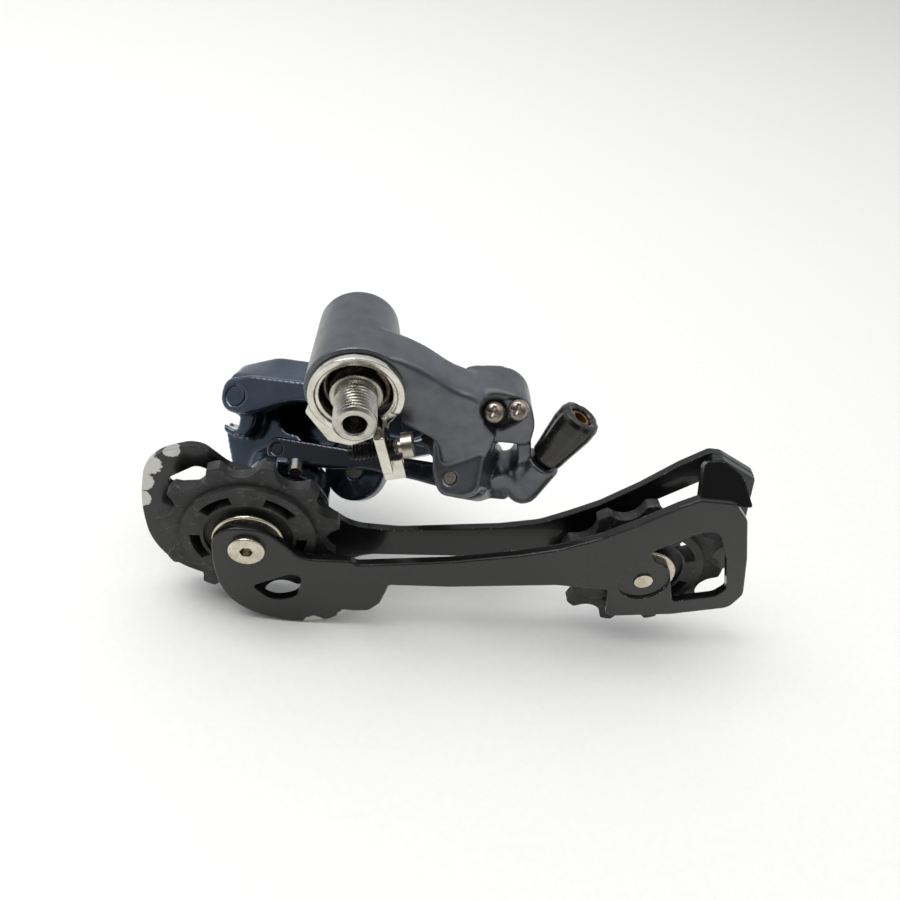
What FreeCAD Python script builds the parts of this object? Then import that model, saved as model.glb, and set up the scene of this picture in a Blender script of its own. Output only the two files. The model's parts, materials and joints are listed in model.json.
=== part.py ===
import FreeCAD, Part
import math
import os
from FreeCAD import Placement, Rotation, Vector

# Rear bicycle derailleur with a long cage, in millimetres.
# +X points to the rear of the bicycle, +Y away from the wheel, +Z up.
# The origin is on the hanger bolt's axis, where the bolt's shoulder meets the hanger.

doc = FreeCAD.newDocument("rear_derailleur")

# Driving sizes: alias, value and what it is
SIZES = [
    ("thread_rad", 4.95, "hanger bolt thread M10, outer radius"),
    ("thread_len", 9.5, "thread that stands out towards the wheel"),
    ("shoulder_rad", 6.0, "hanger bolt shank radius"),
    ("head_gap", 0.4, "room between the knuckle and the hanger bolt's head"),
    ("bolt_head_rad", 8.0, "hanger bolt head radius"),
    ("bolt_head_len", 2.6, "hanger bolt head thickness"),
    ("bolt_hollow_rad", 2.65, "hole through the hanger bolt"),
    ("bolt_hex", 6.0, "hex key size in the bolt head"),
    ("run_gap", 0.05, "radial clearance of a running fit"),
    ("face_gap", 0.3, "gap between faces that move past each other"),
    ("stop_rad", 10.9, "stopper plate radius"),
    ("stop_hole_rad", 8.3, "stopper plate hole radius"),
    ("stop_thick", 2.0, "stopper plate thickness"),
    ("lip_thick", 0.7, "raised lip on the stopper plate"),
    ("tang_thick", 2.6, "tang that carries the tension screw"),
    ("tang_reach", 6.5, "how far the tang stands out towards the wheel"),
    ("bscrew_rad", 2.0, "body tension screw M4, outer radius"),
    ("bscrew_len", 12.4, "tension screw thread length"),
    ("bscrew_head_rad", 3.0, "tension screw head radius"),
    ("bscrew_head_len", 2.5, "tension screw head length"),
    ("bscrew_pitch", 0.9, "ridge spacing on the tension screw"),
    ("barrel_near_rad", 11.9, "knuckle barrel radius at the hanger"),
    ("barrel_far_rad", 9.5, "knuckle barrel radius at the outer end"),
    ("barrel_len", 27.2, "knuckle barrel length"),
    ("barrel_round", 1.4, "rounding of the barrel's outer rim"),
    ("cavity_rad", 8.5, "spring cavity radius in the barrel"),
    ("cavity_len", 15.5, "spring cavity depth"),
    ("arm_far", 13.5, "outer face of the knuckle arm"),
    ("bush_wall", 1.0, "wall of the pivot bushing"),
    ("bspring_wire", 1.6, "knuckle spring wire diameter"),
    ("bspring_rad", 7.2, "knuckle spring mean radius"),
    ("bspring_pitch", 2.6, "knuckle spring pitch"),
    ("bspring_turns", 5, "knuckle spring turns"),
    ("near_pin_x", 25.1, "near end of the inner link's knuckle pin, X"),
    ("near_pin_y", 0.0, "near end of the inner link's knuckle pin, Y"),
    ("near_pin_z", -21.54, "near end of the inner link's knuckle pin, Z"),
    ("link_len", 49.08, "pin to pin length of both links"),
    ("pin_offset_s", 12.37, "second pin from the first, along the link"),
    ("pin_offset_n", 11.82, "second pin from the first, across the link"),
    ("small_pin_rad", 1.5, "inner link pin radius"),
    ("big_pin_rad", 2.5, "outer link pin radius"),
    ("ear_thick", 4.0, "thickness of each clevis ear"),
    ("ear_rad", 4.4, "rounding radius of a clevis ear"),
    ("link_thick", 4.5, "inner link thickness"),
    ("link_half", 3.25, "inner link half width"),
    ("link_depth", 24.0, "width over both ears of the outer link"),
    ("lobe_rad", 8.6, "cable lobe radius on the outer link"),
    ("anchor_rad", 2.5, "cable anchor bolt M5, radius"),
    ("guide_x", -22.0, "guide pulley axis, X"),
    ("guide_z", -48.0, "guide pulley axis, Z"),
    ("cage_mid_y", 2.0, "middle plane of the pulleys"),
    ("pulley_span", 104.0, "guide pulley to tension pulley"),
    ("teeth", 11, "teeth on each pulley"),
    ("chain_pitch", 12.7, "chain pitch"),
    ("seat_rad", 4.8, "roller seat radius between teeth"),
    ("root_rad", 19.3, "pulley radius at the bottom of a seat"),
    ("crown_half", 1.6, "half width of a tooth's crown"),
    ("tip_rad", 23.0, "pulley tip radius"),
    ("tooth_thick", 3.0, "pulley tooth thickness"),
    ("hub_rad", 16.9, "pulley hub disc radius"),
    ("hub_thick", 6.0, "pulley hub thickness"),
    ("slot_in_rad", 12.0, "pulley slot inner radius"),
    ("slot_out_rad", 14.6, "pulley slot outer radius"),
    ("pulley_bush_rad", 4.0, "pulley bushing outer radius"),
    ("pulley_bolt_rad", 2.45, "pulley bolt radius"),
    ("cap_rad", 9.0, "bearing cap radius"),
    ("cap_thick", 0.9, "bearing cap thickness"),
    ("plate_gap", 9.2, "gap between the cage plates"),
    ("plate_thick", 2.2, "cage plate thickness"),
    ("bolt_cap_rad", 4.6, "guide pulley bolt head radius"),
    ("bolt_cap_len", 1.2, "guide pulley bolt head height"),
    ("recess_rad", 7.0, "recess round the tension pulley bolt"),
    ("recess_deep", 0.6, "depth of that recess"),
    ("edge_round", 0.5, "rounded edges of the cage plates"),
    ("cage_axle_x", -14.0, "cage pivot axis, X"),
    ("cage_axle_z", -47.6, "cage pivot axis, Z"),
    ("cage_axle_rad", 3.6, "cage axle radius"),
    ("drum_rad", 11.6, "spring drum radius"),
    ("drum_near", 10.7, "near face of the spring drum"),
    ("drum_len", 9.0, "spring drum length"),
    ("drum_wall", 1.7, "spring drum wall"),
    ("pspring_wire", 1.7, "cage spring wire diameter"),
    ("pspring_rad", 7.4, "cage spring mean radius"),
    ("pspring_pitch", 2.2, "cage spring pitch"),
    ("pspring_turns", 2, "cage spring turns"),
    ("limit_rad", 1.9, "limit screw thread radius"),
    ("limit_head_rad", 2.45, "limit screw head radius"),
    ("limit_head_len", 2.4, "limit screw head length"),
    ("limit_len", 9.0, "limit screw length"),
    ("knob_rad", 4.4, "cable adjuster knob radius"),
    ("knob_len", 11.0, "cable adjuster knob length"),
    ("stem_rad", 2.5, "cable adjuster thread radius"),
    ("stem_len", 8.0, "cable adjuster thread length"),
    ("boss_rad", 4.7, "cable stop boss radius"),
    ("cable_bore", 1.3, "cable bore radius in the adjuster"),
    ("ferrule_hole", 2.5, "housing socket radius in the adjuster"),
]

sheet = doc.addObject("Spreadsheet::Sheet", "Sizes")
for row, (alias, value, note) in enumerate(SIZES, start=1):
    sheet.set("A%d" % row, alias)
    sheet.set("B%d" % row, str(value))
    sheet.set("C%d" % row, note)
    sheet.setAlias("B%d" % row, alias)
doc.recompute()
NAMES = [alias for alias, value, note in SIZES]
V = {alias: float(getattr(sheet, alias)) for alias in NAMES}


# Small helpers

def bind(obj, prop, expression):
    """Bind a property to an expression of sheet aliases, or set a plain number."""
    if isinstance(expression, (int, float)):
        setattr(obj, prop, expression)
        return
    text = ""
    word = ""
    for letter in expression + " ":
        if letter.isalnum() or letter == "_":
            word += letter
            continue
        text += ("Sizes." + word) if word in V else word
        word = ""
        text += letter
    obj.setExpression(prop, text.strip())


def turned(direction, base, x_dir=None):
    """Placement whose local Z is the direction, and local X as near x_dir as it can be."""
    z = Vector(direction).normalize()
    if x_dir is None:
        x_dir = Vector(1, 0, 0) if abs(z.x) < 0.9 else Vector(0, 0, 1)
    x = Vector(x_dir) - z * z.dot(Vector(x_dir))
    x.normalize()
    y = z.cross(x)
    matrix = FreeCAD.Matrix(x.x, y.x, z.x, 0, x.y, y.y, z.y, 0, x.z, y.z, z.z, 0, 0, 0, 0, 1)
    place = Placement(matrix)
    place.Base = Vector(base)
    return place


def cylinder(name, radius, height, base, direction):
    obj = doc.addObject("Part::Cylinder", name)
    bind(obj, "Radius", radius)
    bind(obj, "Height", height)
    obj.Placement = turned(direction, base)
    return obj


def cone(name, radius1, radius2, height, base, direction):
    obj = doc.addObject("Part::Cone", name)
    bind(obj, "Radius1", radius1)
    bind(obj, "Radius2", radius2)
    bind(obj, "Height", height)
    obj.Placement = turned(direction, base)
    return obj


def box(name, length, width, height, base, direction=(0, 0, 1), x_dir=None):
    obj = doc.addObject("Part::Box", name)
    bind(obj, "Length", length)
    bind(obj, "Width", width)
    bind(obj, "Height", height)
    obj.Placement = turned(direction, base, x_dir)
    return obj


def hexagon(name, across, height, base, direction):
    obj = doc.addObject("Part::Prism", name)
    obj.Polygon = 6
    bind(obj, "Circumradius", "%s / sqrt(3)" % across)
    bind(obj, "Height", height)
    obj.Placement = turned(direction, base)
    return obj


def fuse(name, *parts):
    obj = doc.addObject("Part::MultiFuse", name)
    obj.Shapes = list(parts)
    obj.Refine = True
    return obj


def cut(name, base, *tools):
    obj = doc.addObject("Part::Cut", name)
    obj.Base = base
    obj.Tool = tools[0] if len(tools) == 1 else fuse(name + "_tools", *tools)
    obj.Refine = True
    return obj


def common(name, first, second):
    obj = doc.addObject("Part::MultiCommon", name)
    obj.Shapes = [first, second]
    return obj


def rounded(points):
    """Closed outline of (x, y, corner radius) points as lines and tangent arcs."""
    count = len(points)
    ends = []
    for i in range(count):
        p = Vector(points[i][0], points[i][1], 0)
        before = Vector(points[i - 1][0], points[i - 1][1], 0)
        after = Vector(points[(i + 1) % count][0], points[(i + 1) % count][1], 0)
        u = (before - p).normalize()
        w = (after - p).normalize()
        half = math.acos(max(-1.0, min(1.0, u.dot(w)))) / 2
        radius = points[i][2]
        reach = radius / math.tan(half) if radius > 0 else 0
        room = 0.49 * min((before - p).Length, (after - p).Length)
        if reach > room:
            reach = room
            radius = reach * math.tan(half)
        if reach < 0.02 or half > math.radians(89.6):
            ends.append((p, p, None))
            continue
        centre = p + (u + w).normalize() * (radius / math.sin(half))
        middle = centre + (p - centre).normalize() * radius
        ends.append((p + u * reach, p + w * reach, middle))
    edges = []
    for i in range(count):
        start, stop, middle = ends[i]
        if middle is not None:
            edges.append(Part.Arc(start, middle, stop))
        nxt = ends[(i + 1) % count][0]
        if (nxt - stop).Length > 1e-6:
            edges.append(Part.LineSegment(stop, nxt))
    return edges


def circle(x, y, radius):
    return [Part.Circle(Vector(x, y, 0), Vector(0, 0, 1), radius)]


def prism(name, loops, depth, place, both=False):
    """A sketch of closed loops, pushed along its own normal by the depth."""
    sk = doc.addObject("Sketcher::SketchObject", name + "_sketch")
    sk.Placement = place
    for loop in loops:
        sk.addGeometry(loop, False)
    obj = doc.addObject("Part::Extrusion", name)
    obj.Base = sk
    obj.DirMode = "Normal"
    bind(obj, "LengthFwd", depth)
    obj.Solid = True
    obj.Symmetric = both
    return obj


def flat_xz(y):
    """Sketch plane across Y: sketch x is X, sketch y is Z, pushed towards -Y."""
    return turned((0, -1, 0), (0, y, 0), (1, 0, 0))


def soften(name, base, radius, keep):
    """Fillet the edges that the test keeps."""
    doc.recompute()
    chosen = []
    for index, edge in enumerate(base.Shape.Edges, start=1):
        if keep(edge):
            chosen.append((index, radius, radius))
    obj = doc.addObject("Part::Fillet", name)
    obj.Base = base
    obj.Edges = chosen
    doc.recompute()
    return obj


PIECES = {}


def piece(node, obj):
    """Name a finished sub-part; its label is its file's name."""
    obj.Label = node
    PIECES[node] = obj


def spring(wire, mean, pitch, turns, base, direction, x_dir, tail):
    """One wound tube: half-turn biarcs about the axis, straight for one diameter at each end."""
    place = turned(direction, base, x_dir)
    steps = int(round(turns * 4))
    nodes = []
    for k in range(steps + 1):
        angle = k * math.pi / 2
        point = Vector(mean * math.cos(angle), mean * math.sin(angle), pitch * angle / (2 * math.pi))
        slope = Vector(-mean * math.sin(angle), mean * math.cos(angle), pitch / (2 * math.pi)).normalize()
        nodes.append((place.multVec(point), place.Rotation.multVec(slope)))
    edges = [Part.LineSegment(nodes[0][0] - nodes[0][1] * tail, nodes[0][0]).toShape()]
    for (p0, t0), (p1, t1) in zip(nodes, nodes[1:]):
        chord = p1 - p0
        a2 = (t0 + t1).dot(t0 + t1)
        b = chord.dot(t0 + t1)
        c = chord.dot(chord)
        d = (-b + math.sqrt(b * b + (4 - a2) * c)) / (4 - a2)
        joint = (p0 + p1 + (t0 - t1) * d) * 0.5
        for q0, tan, q1 in ((p0, t0, joint), (joint, None, p1)):
            if tan is None:
                tan = (joint - (p0 + t0 * d)).normalize()
            edges.append(arc_from(q0, tan, q1))
    edges.append(Part.LineSegment(nodes[-1][0], nodes[-1][0] + nodes[-1][1] * tail).toShape())
    path = Part.Wire(edges)
    start = nodes[0][0] - nodes[0][1] * tail
    profile = Part.Wire([Part.makeCircle(wire / 2, start, nodes[0][1])])
    solid = path.makePipeShell([profile], True, False)
    points = path.discretize(Number=60 * int(turns) + 20)
    gap = least_gap(points, wire)
    return solid, gap


def arc_from(start, tangent, stop):
    chord = stop - start
    normal = tangent.cross(chord)
    side = normal.cross(tangent).normalize()
    radius = chord.dot(chord) / (2 * chord.dot(side))
    centre = start + side * radius
    middle = centre + ((start - centre) + (stop - centre)).normalize() * radius
    return Part.Arc(start, middle, stop).toShape()


def least_gap(points, wire):
    """Smallest distance between two far stretches of the wire, less its diameter."""
    best = 1e9
    step = (points[1] - points[0]).Length
    skip = int(2.5 * wire / step) + 2
    for i in range(len(points)):
        for j in range(i + skip, len(points)):
            far = (points[i] - points[j]).Length
            if far < best:
                best = far
    return best - wire


def wound(node, wire, mean, pitch, turns, base, direction, x_dir):
    solid, gap = spring(V[wire], V[mean], V[pitch], V[turns], base, direction, x_dir, V[wire])
    obj = doc.addObject("Part::Feature", node)
    obj.Shape = solid
    length = V[turns] * math.hypot(2 * math.pi * V[mean], V[pitch]) + 2 * V[wire]
    ideal = math.pi * V[wire] ** 2 / 4 * length
    print(node, "least gap to itself %.2f mm" % gap, "volume share %.3f" % (solid.Volume / ideal))
    piece(node, obj)


# The link frame: d runs along the pins away from the wheel, s from knuckle to cage, n across

PIN_AXIS = Vector(0.4209, 0.6313, -0.6514).normalize()
LINK_DIR = Vector(-0.9037, 0.3538, -0.2410)
LINK_DIR = (LINK_DIR - PIN_AXIS * PIN_AXIS.dot(LINK_DIR)).normalize()
CROSS_DIR = PIN_AXIS.cross(LINK_DIR)
KNUCKLE_PIN = Vector(V["near_pin_x"], V["near_pin_y"], V["near_pin_z"])


def linked(s, n, d):
    return KNUCKLE_PIN + LINK_DIR * s + CROSS_DIR * n + PIN_AXIS * d


def link_plane(d, s=0.0, n=0.0):
    """Sketch plane across the pins: sketch x is s, sketch y is n, pushed along the pins."""
    return turned(PIN_AXIS, linked(s, n, d), LINK_DIR)


PIN_S = V["pin_offset_s"]
PIN_N = V["pin_offset_n"]
LINK = V["link_len"]
GAP = V["face_gap"]
EAR = V["ear_thick"]
LINK_NEAR = EAR + GAP
LINK_FAR = LINK_NEAR + V["link_thick"]
LUG_NEAR = LINK_FAR + GAP
LUG_FAR = V["link_depth"] - EAR - GAP
AWAY = (0, 1, 0)
NEAR = (0, -1, 0)

# Hanger bolt: hollow, threaded end towards the wheel, hex socket in the outer head

thread = cylinder("bolt_thread", "thread_rad", "thread_len", (0, -V["thread_len"], 0), AWAY)
# the shank passes the stopper plate and the knuckle's barrel, with room under the head
SHANK = V["stop_thick"] + V["face_gap"] + V["barrel_len"] + V["head_gap"]
shank = cylinder("bolt_shank", "shoulder_rad", "stop_thick + face_gap + barrel_len + head_gap", (0, 0, 0), AWAY)
head = cylinder("bolt_head", "bolt_head_rad", "bolt_head_len", (0, SHANK, 0), AWAY)
hollow = cylinder("bolt_hollow", "bolt_hollow_rad", 60, (0, -20, 0), AWAY)
socket = hexagon("bolt_socket", "bolt_hex", 7, (0, SHANK + V["bolt_head_len"] - 5, 0), AWAY)
raw = cut("mounting_bolt_cut", fuse("bolt_body", thread, shank, head), hollow, socket)
bolt_tip = -V["thread_len"]
bolt_end = SHANK + V["bolt_head_len"]


def tip_edge(edge):
    if len(edge.Vertexes) != 1 or not hasattr(edge.Curve, "Radius"):
        return False
    y = edge.CenterOfMass.y
    outer = edge.Curve.Radius
    if abs(y - bolt_tip) < 0.01 and outer > V["bolt_hollow_rad"] + 0.5:
        return True
    return abs(y - bolt_end) < 0.01 and outer > V["shoulder_rad"]


piece("mounting_bolt", soften("mounting_bolt_round", raw, 0.5, tip_edge))

# Stopper plate: a chromed ring with a raised lip and a bent tang that carries the tension screw

SCREW_DIR = Vector(0.946, 0, 0.324).normalize()
SCREW_AT = Vector(7.6, -3.4, -11.1)
stop = V["stop_rad"]
ring_loop = [(stop * math.cos(math.radians(t)), stop * math.sin(math.radians(t)), 1.5)
             for t in range(-40, 201, 20)]
corner = [(-10.9, -6.6, 1.2), (-5.0, -14.4, 1.6), (0.5, -15.2, 1.2), (4.5, -12.5, 1.0), (8.6, -9.5, 0.6)]
plate = prism("stop_blank", [rounded(ring_loop + corner)], "stop_thick - lip_thick",
              flat_xz(V["stop_thick"]))
disc = cylinder("stop_disc", "stop_rad", "stop_thick - lip_thick", (0, V["lip_thick"], 0), AWAY)
lip = cylinder("stop_lip", "stop_rad", "lip_thick", (0, 0, 0), AWAY)
lip_hole = cylinder("stop_lip_hole", "stop_hole_rad + 1.0", 6, (0, -2, 0), AWAY)
lip_gap = box("stop_lip_gap", 14, 3.4, 8, (-1.5, -2.4, -11.5), (0, 0, 1))
lip_part = cut("stop_lip_part", lip, lip_hole, lip_gap)
hole = cylinder("stop_hole", "stop_hole_rad", 6, (0, -2, 0), AWAY)
tang_x = SCREW_DIR
tang_base = SCREW_AT - SCREW_DIR * (V["tang_thick"] / 2)
tang = box("stop_tang", "tang_thick", "tang_reach + stop_thick", 11.0,
           tang_base + Vector(0.324, 0, -0.946) * 5.4 - Vector(0, V["tang_reach"] + SCREW_AT.y, 0),
           Vector(-0.324, 0, 0.946), tang_x)
foot = box("stop_foot", 5.4, 2.4, 6.2,
           tang_base + Vector(0.324, 0, -0.946) * 10.6 - tang_x * 0.6 + Vector(0, 0.2, 0),
           Vector(-0.324, 0, 0.946), tang_x)
tap = cylinder("stop_tap", "bscrew_rad + 0.03", 12, SCREW_AT - SCREW_DIR * 6, SCREW_DIR)
body = fuse("stop_all", cut("stop_flat", fuse("stop_round", plate, disc), hole), lip_part, tang, foot)
raw = cut("stopper_plate_cut", body, tap)


def straight_long(edge):
    return isinstance(edge.Curve, Part.Line) and edge.Length > 5.0 and edge.CenterOfMass.y < -0.5


piece("stopper_plate", soften("stopper_plate_round", raw, 0.5, straight_long))

# Body tension screw: ridged thread, cross recess

screw_tip = SCREW_AT - SCREW_DIR * 8.0
ridges = []
along = 0.8
half = V["bscrew_pitch"] / 2
core = V["bscrew_rad"] * 0.78
screw_core = cylinder("bscrew_core", core, "bscrew_len", screw_tip, SCREW_DIR)
rings = [screw_core]
count = int((V["bscrew_len"] - 1.2) / V["bscrew_pitch"])
for k in range(count):
    start = screw_tip + SCREW_DIR * (along + k * V["bscrew_pitch"])
    rings.append(cone("bscrew_up%d" % k, core - 0.1, "bscrew_rad", half, start, SCREW_DIR))
    rings.append(cone("bscrew_down%d" % k, "bscrew_rad", core - 0.1, half,
                      start + SCREW_DIR * half, SCREW_DIR))
head_at = screw_tip + SCREW_DIR * V["bscrew_len"]
rings.append(cylinder("bscrew_head", "bscrew_head_rad", "bscrew_head_len", head_at, SCREW_DIR))
cross_at = head_at + SCREW_DIR * (V["bscrew_head_len"] - 1.2)
cross_a = box("bscrew_cross_a", 3.6, 0.9, 3, cross_at + Vector(0, -0.45, 0) - Vector(-0.324, 0, 0.946) * 1.8,
              SCREW_DIR, Vector(-0.324, 0, 0.946))
cross_b = box("bscrew_cross_b", 3.6, 0.9, 3, cross_at - Vector(0, 1.8, 0) + Vector(-0.324, 0, 0.946) * 0.45,
              SCREW_DIR, Vector(0, 1, 0))
piece("b_tension_screw", cut("b_tension_screw_cut", fuse("bscrew_all", *rings), cross_a, cross_b))

# Knuckle: tapered barrel, arm, clevis for the inner link, lug for the outer link, rear block

KN = V["stop_thick"] + GAP
barrel = cone("knuckle_barrel_blank", "barrel_near_rad", "barrel_far_rad", "barrel_len", (0, KN, 0), AWAY)


def far_rim(edge):
    return abs(edge.CenterOfMass.y - KN - V["barrel_len"]) < 0.01 and len(edge.Vertexes) == 1


def near_rim(edge):
    return abs(edge.CenterOfMass.y - KN) < 0.01 and len(edge.Vertexes) == 1


barrel = soften("knuckle_barrel", barrel, V["barrel_round"], far_rim)
arm_outline = [(-4, 8, 1), (6, 10.8, 12), (14.5, 8.0, 60), (22.2, 3.2, 60), (29.4, 1.2, 16), (34.0, -4.6, 8),
               (34.6, -12, 20), (32.8, -19, 4), (23.0, -20.5, 2), (20.5, -13, 6), (11.5, -8.6, 8), (2, -8, 1)]
arm = prism("knuckle_arm", [rounded(arm_outline)], "arm_far - %s" % KN, flat_xz(V["arm_far"]))


def arm_edge(edge):
    near = abs(edge.CenterOfMass.y - KN) < 0.01
    return near and edge.CenterOfMass.x > 15 and edge.CenterOfMass.z > -17


arm = soften("knuckle_arm_round", arm, 1.6, arm_edge)
ear_loop = [(-7.4, 9.5, 2), (-7.2, -2.6, 3.5), (-3.2, -4.5, 3.5), (2.4, -4.4, 3.0), (5.0, 0.5, 5), (6.4, 9.0, 1)]
ear = prism("knuckle_ear", [rounded(ear_loop)], EAR, link_plane(0))


def ear_edge(edge):
    mid = edge.CenterOfMass - KNUCKLE_PIN
    return abs(mid.dot(PIN_AXIS)) < 0.02 and mid.dot(CROSS_DIR) < 8


ear = soften("knuckle_ear_round", ear, 1.0, ear_edge)
back_loop = [(-7.4, 10.5, 3), (-7.2, -2.6, 3.5), (-3.2, -4.5, 3.5), (3.0, -4.4, 3.5), (5.5, 2.0, 3),
             (11.0, PIN_N - V["ear_rad"] - 0.4, 2), (PIN_S + 4.6, PIN_N - V["ear_rad"], 4),
             (PIN_S + 4.6, PIN_N + 4.4, 4), (4.0, PIN_N + 5.2, 3)]
back = prism("knuckle_back", [rounded(back_loop)], LUG_FAR - LUG_NEAR, link_plane(LUG_NEAR))
tower_loop = [(-7.3, -2.0, 2), (-4.4, -1.4, 0.8), (-4.2, 3.0, 2.0), (-2.0, 4.8, 1), (5.6, 4.8, 1), (7.5, 14.0, 1),
              (12, 17.5, 2), (10, 22, 2), (-5, 19, 3), (-7.3, 10, 2)]
tower = prism("knuckle_tower", [rounded(tower_loop)], 13, link_plane(1.0))
# rear block that holds the limit screws, and the arch down to the cable stop
LIMIT_A = Vector(32.8, 4.9, -3.6)
LIMIT_B = Vector(38.3, 4.9, -2.2)
block = prism("knuckle_block", [rounded([(24, 0.4, 20), (33.2, 1.6, 12), (40.6, 0.2, 12), (43.8, -7.5, 12),
              (44.0, -14, 2), (28, -14, 1)])], 11.0, flat_xz(17.0))
arch = prism("knuckle_arch", [rounded([(31, -10, 1), (43.4, -10, 2), (45.6, -19, 3), (46.2, -27, 3),
             (43.5, -34, 3), (37.5, -34.5, 3.5), (33.0, -27, 3), (31.5, -20, 1)]),
             rounded([(36.0, -14.6, 1.2), (40.6, -14.0, 1.5), (42.3, -19.5, 1.5), (41.8, -23.4, 2),
             (35.4, -24.6, 1.5)])], 8.0, flat_xz(15.0))
HUB_AT = Vector(39.4, 5.0, -26.4)
arch_bar = cylinder("knuckle_arch_bar", 3.0, 9.0, HUB_AT, AWAY)
# cable stop: a boss under the adjuster
ADJ_DIR = Vector(0.353, 0.02, 0.935).normalize()
ADJ_AT = Vector(49.4, 8.0, -19.2)
boss_at = ADJ_AT - ADJ_DIR * 10.5
boss = cylinder("cable_boss", "boss_rad", 9.6, boss_at, ADJ_DIR)
boss_tip = doc.addObject("Part::Sphere", "cable_boss_tip")
bind(boss_tip, "Radius", "boss_rad")
boss_tip.Placement.Base = boss_at
bridge = prism("cable_bridge", [rounded([(42.5, -19.5, 2), (47.5, -22.0, 2), (47.2, -31.6, 3),
               (42.0, -31.0, 1.5)])], 6.5, flat_xz(12.5))
solid = fuse("knuckle_mass", barrel, arm, ear, back, tower, block, arch, arch_bar, boss, boss_tip, bridge)
cavity = cylinder("knuckle_cavity", "cavity_rad", "cavity_len", (0, KN - 0.02, 0), AWAY)
bore = cylinder("knuckle_bore", "shoulder_rad + run_gap + bush_wall", 60, (0, -1, 0), AWAY)
front_room = prism("knuckle_front_room", [circle(0, 0, V["stop_rad"] + 3.2)], 40, flat_xz(KN))
near_room_loop = [(PIN_S - 5.2, PIN_N - 5.2, 3), (40, -30, 1), (60, 10, 1), (60, 40, 1),
                  (PIN_S + 8, PIN_N + 17, 1), (PIN_S - 5.2, PIN_N + 5.2, 3)]
near_room = prism("knuckle_near_room", [rounded(near_room_loop)], EAR + 2 * GAP, link_plane(-GAP))
near_pin_hole = cylinder("knuckle_pin_hole", "small_pin_rad", LUG_NEAR + 8.0, linked(0, 0, -1), PIN_AXIS)
far_pin_hole = cylinder("knuckle_far_hole", "big_pin_rad + run_gap", 80, linked(PIN_S, PIN_N, -20), PIN_AXIS)
limit_dir = (PIN_AXIS + Vector(0, 0.25, 0)).normalize()
pocket = prism("limit_pocket", [rounded([(28.6, -3.9, 2.2), (36.4, -0.7, 1.8), (41.6, -5.0, 2.4),
               (35.2, -10.6, 2.2)])], 12, flat_xz(8.6))
limit_holes = []
for tag, spot in (("a", LIMIT_A), ("b", LIMIT_B)):
    limit_holes.append(cylinder("limit_hole_" + tag, "limit_rad + 0.03", 20, spot - limit_dir * 2, limit_dir))
    limit_holes.append(cylinder("limit_room_" + tag, "limit_head_rad + 0.4", 12, spot - limit_dir * 11.95, limit_dir))
adj_hole = cylinder("adjuster_hole", "stem_rad + 0.03", 30, ADJ_AT - ADJ_DIR * 9.0, ADJ_DIR)
cable_way = cylinder("cable_way", "cable_bore", 60, ADJ_AT - ADJ_DIR * 40, ADJ_DIR)
raw = cut("b_knuckle_cut", solid, cavity, bore, front_room, near_room, near_pin_hole,
          far_pin_hole, pocket, adj_hole, cable_way, *limit_holes)
piece("b_knuckle", raw)

bush_in = "shoulder_rad + run_gap"
bush_at = (0, KN + V["cavity_len"] + 0.1, 0)
bush_len = V["barrel_len"] - V["cavity_len"] - 0.1
bush_out = cylinder("b_bushing_out", "shoulder_rad + run_gap + bush_wall", bush_len, bush_at, AWAY)
bush_hole = cylinder("b_bushing_hole", bush_in, 60, (0, -1, 0), AWAY)
piece("b_pivot_bushing", cut("b_pivot_bushing_cut", bush_out, bush_hole))
wound("b_spring", "bspring_wire", "bspring_rad", "bspring_pitch", "bspring_turns",
      (0, KN + V["bspring_wire"] / 2 - 0.2, 0), AWAY, (0.7, 0, 0.7))

# Limit screws, with cross recesses
for node, spot in (("limit_screw_high", LIMIT_A), ("limit_screw_low", LIMIT_B)):
    at = spot
    stem = cylinder(node + "_stem", "limit_rad", "limit_len", at, limit_dir)
    cap = cylinder(node + "_head", "limit_head_rad", "limit_head_len", at - limit_dir * V["limit_head_len"],
                   limit_dir)
    far = at - limit_dir * (V["limit_head_len"] + 0.5)
    side = limit_dir.cross(Vector(1, 0, 0)).normalize()
    other = limit_dir.cross(side)
    bar_a = box(node + "_cross_a", 3.4, 0.9, 1.6, far - side * 1.7 - limit_dir.cross(side) * 0.45, limit_dir, side)
    bar_b = box(node + "_cross_b", 3.4, 0.9, 1.6, far - other * 1.7 - limit_dir.cross(other) * 0.45,
                limit_dir, other)
    piece(node, cut(node + "_cut", fuse(node + "_all", stem, cap), bar_a, bar_b))

# Cable adjuster: threaded stem, flared knob, open end for the housing, small side window
stem = cylinder("adjuster_stem", "stem_rad", "stem_len + 2", ADJ_AT - ADJ_DIR * (V["stem_len"] - 0.2), ADJ_DIR)
neck = cone("adjuster_neck", 3.2, "knob_rad", 5.0, ADJ_AT + ADJ_DIR * 2.0, ADJ_DIR)
foot = cylinder("adjuster_foot", 3.2, 1.8, ADJ_AT + ADJ_DIR * 0.4, ADJ_DIR)
knob = cylinder("adjuster_knob", "knob_rad", "knob_len - 2.4", ADJ_AT + ADJ_DIR * 7.0, ADJ_DIR)
knob_end = ADJ_AT + ADJ_DIR * (7.0 + V["knob_len"] - 2.4)
mouth = cylinder("adjuster_mouth", "ferrule_hole", 12, knob_end - ADJ_DIR * 6.5, ADJ_DIR)
flats = []
for k in range(4):
    turn = Rotation(ADJ_DIR, 45 + 90 * k)
    outward = turn.multVec(Vector(0, 1, 0).cross(ADJ_DIR).normalize())
    flats.append(cylinder("adjuster_groove%d" % k, 1.2, 12,
                          ADJ_AT + ADJ_DIR * 5.5 + outward * (V["knob_rad"] + 0.55), ADJ_DIR))
window = box("adjuster_window", 3.0, 4.0, 3.4, ADJ_AT + ADJ_DIR * 8.4 + Vector(-1.5, -6.2, 0), (0, 0, 1))
bore = cylinder("adjuster_bore", "cable_bore", 60, ADJ_AT - ADJ_DIR * 20, ADJ_DIR)
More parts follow.
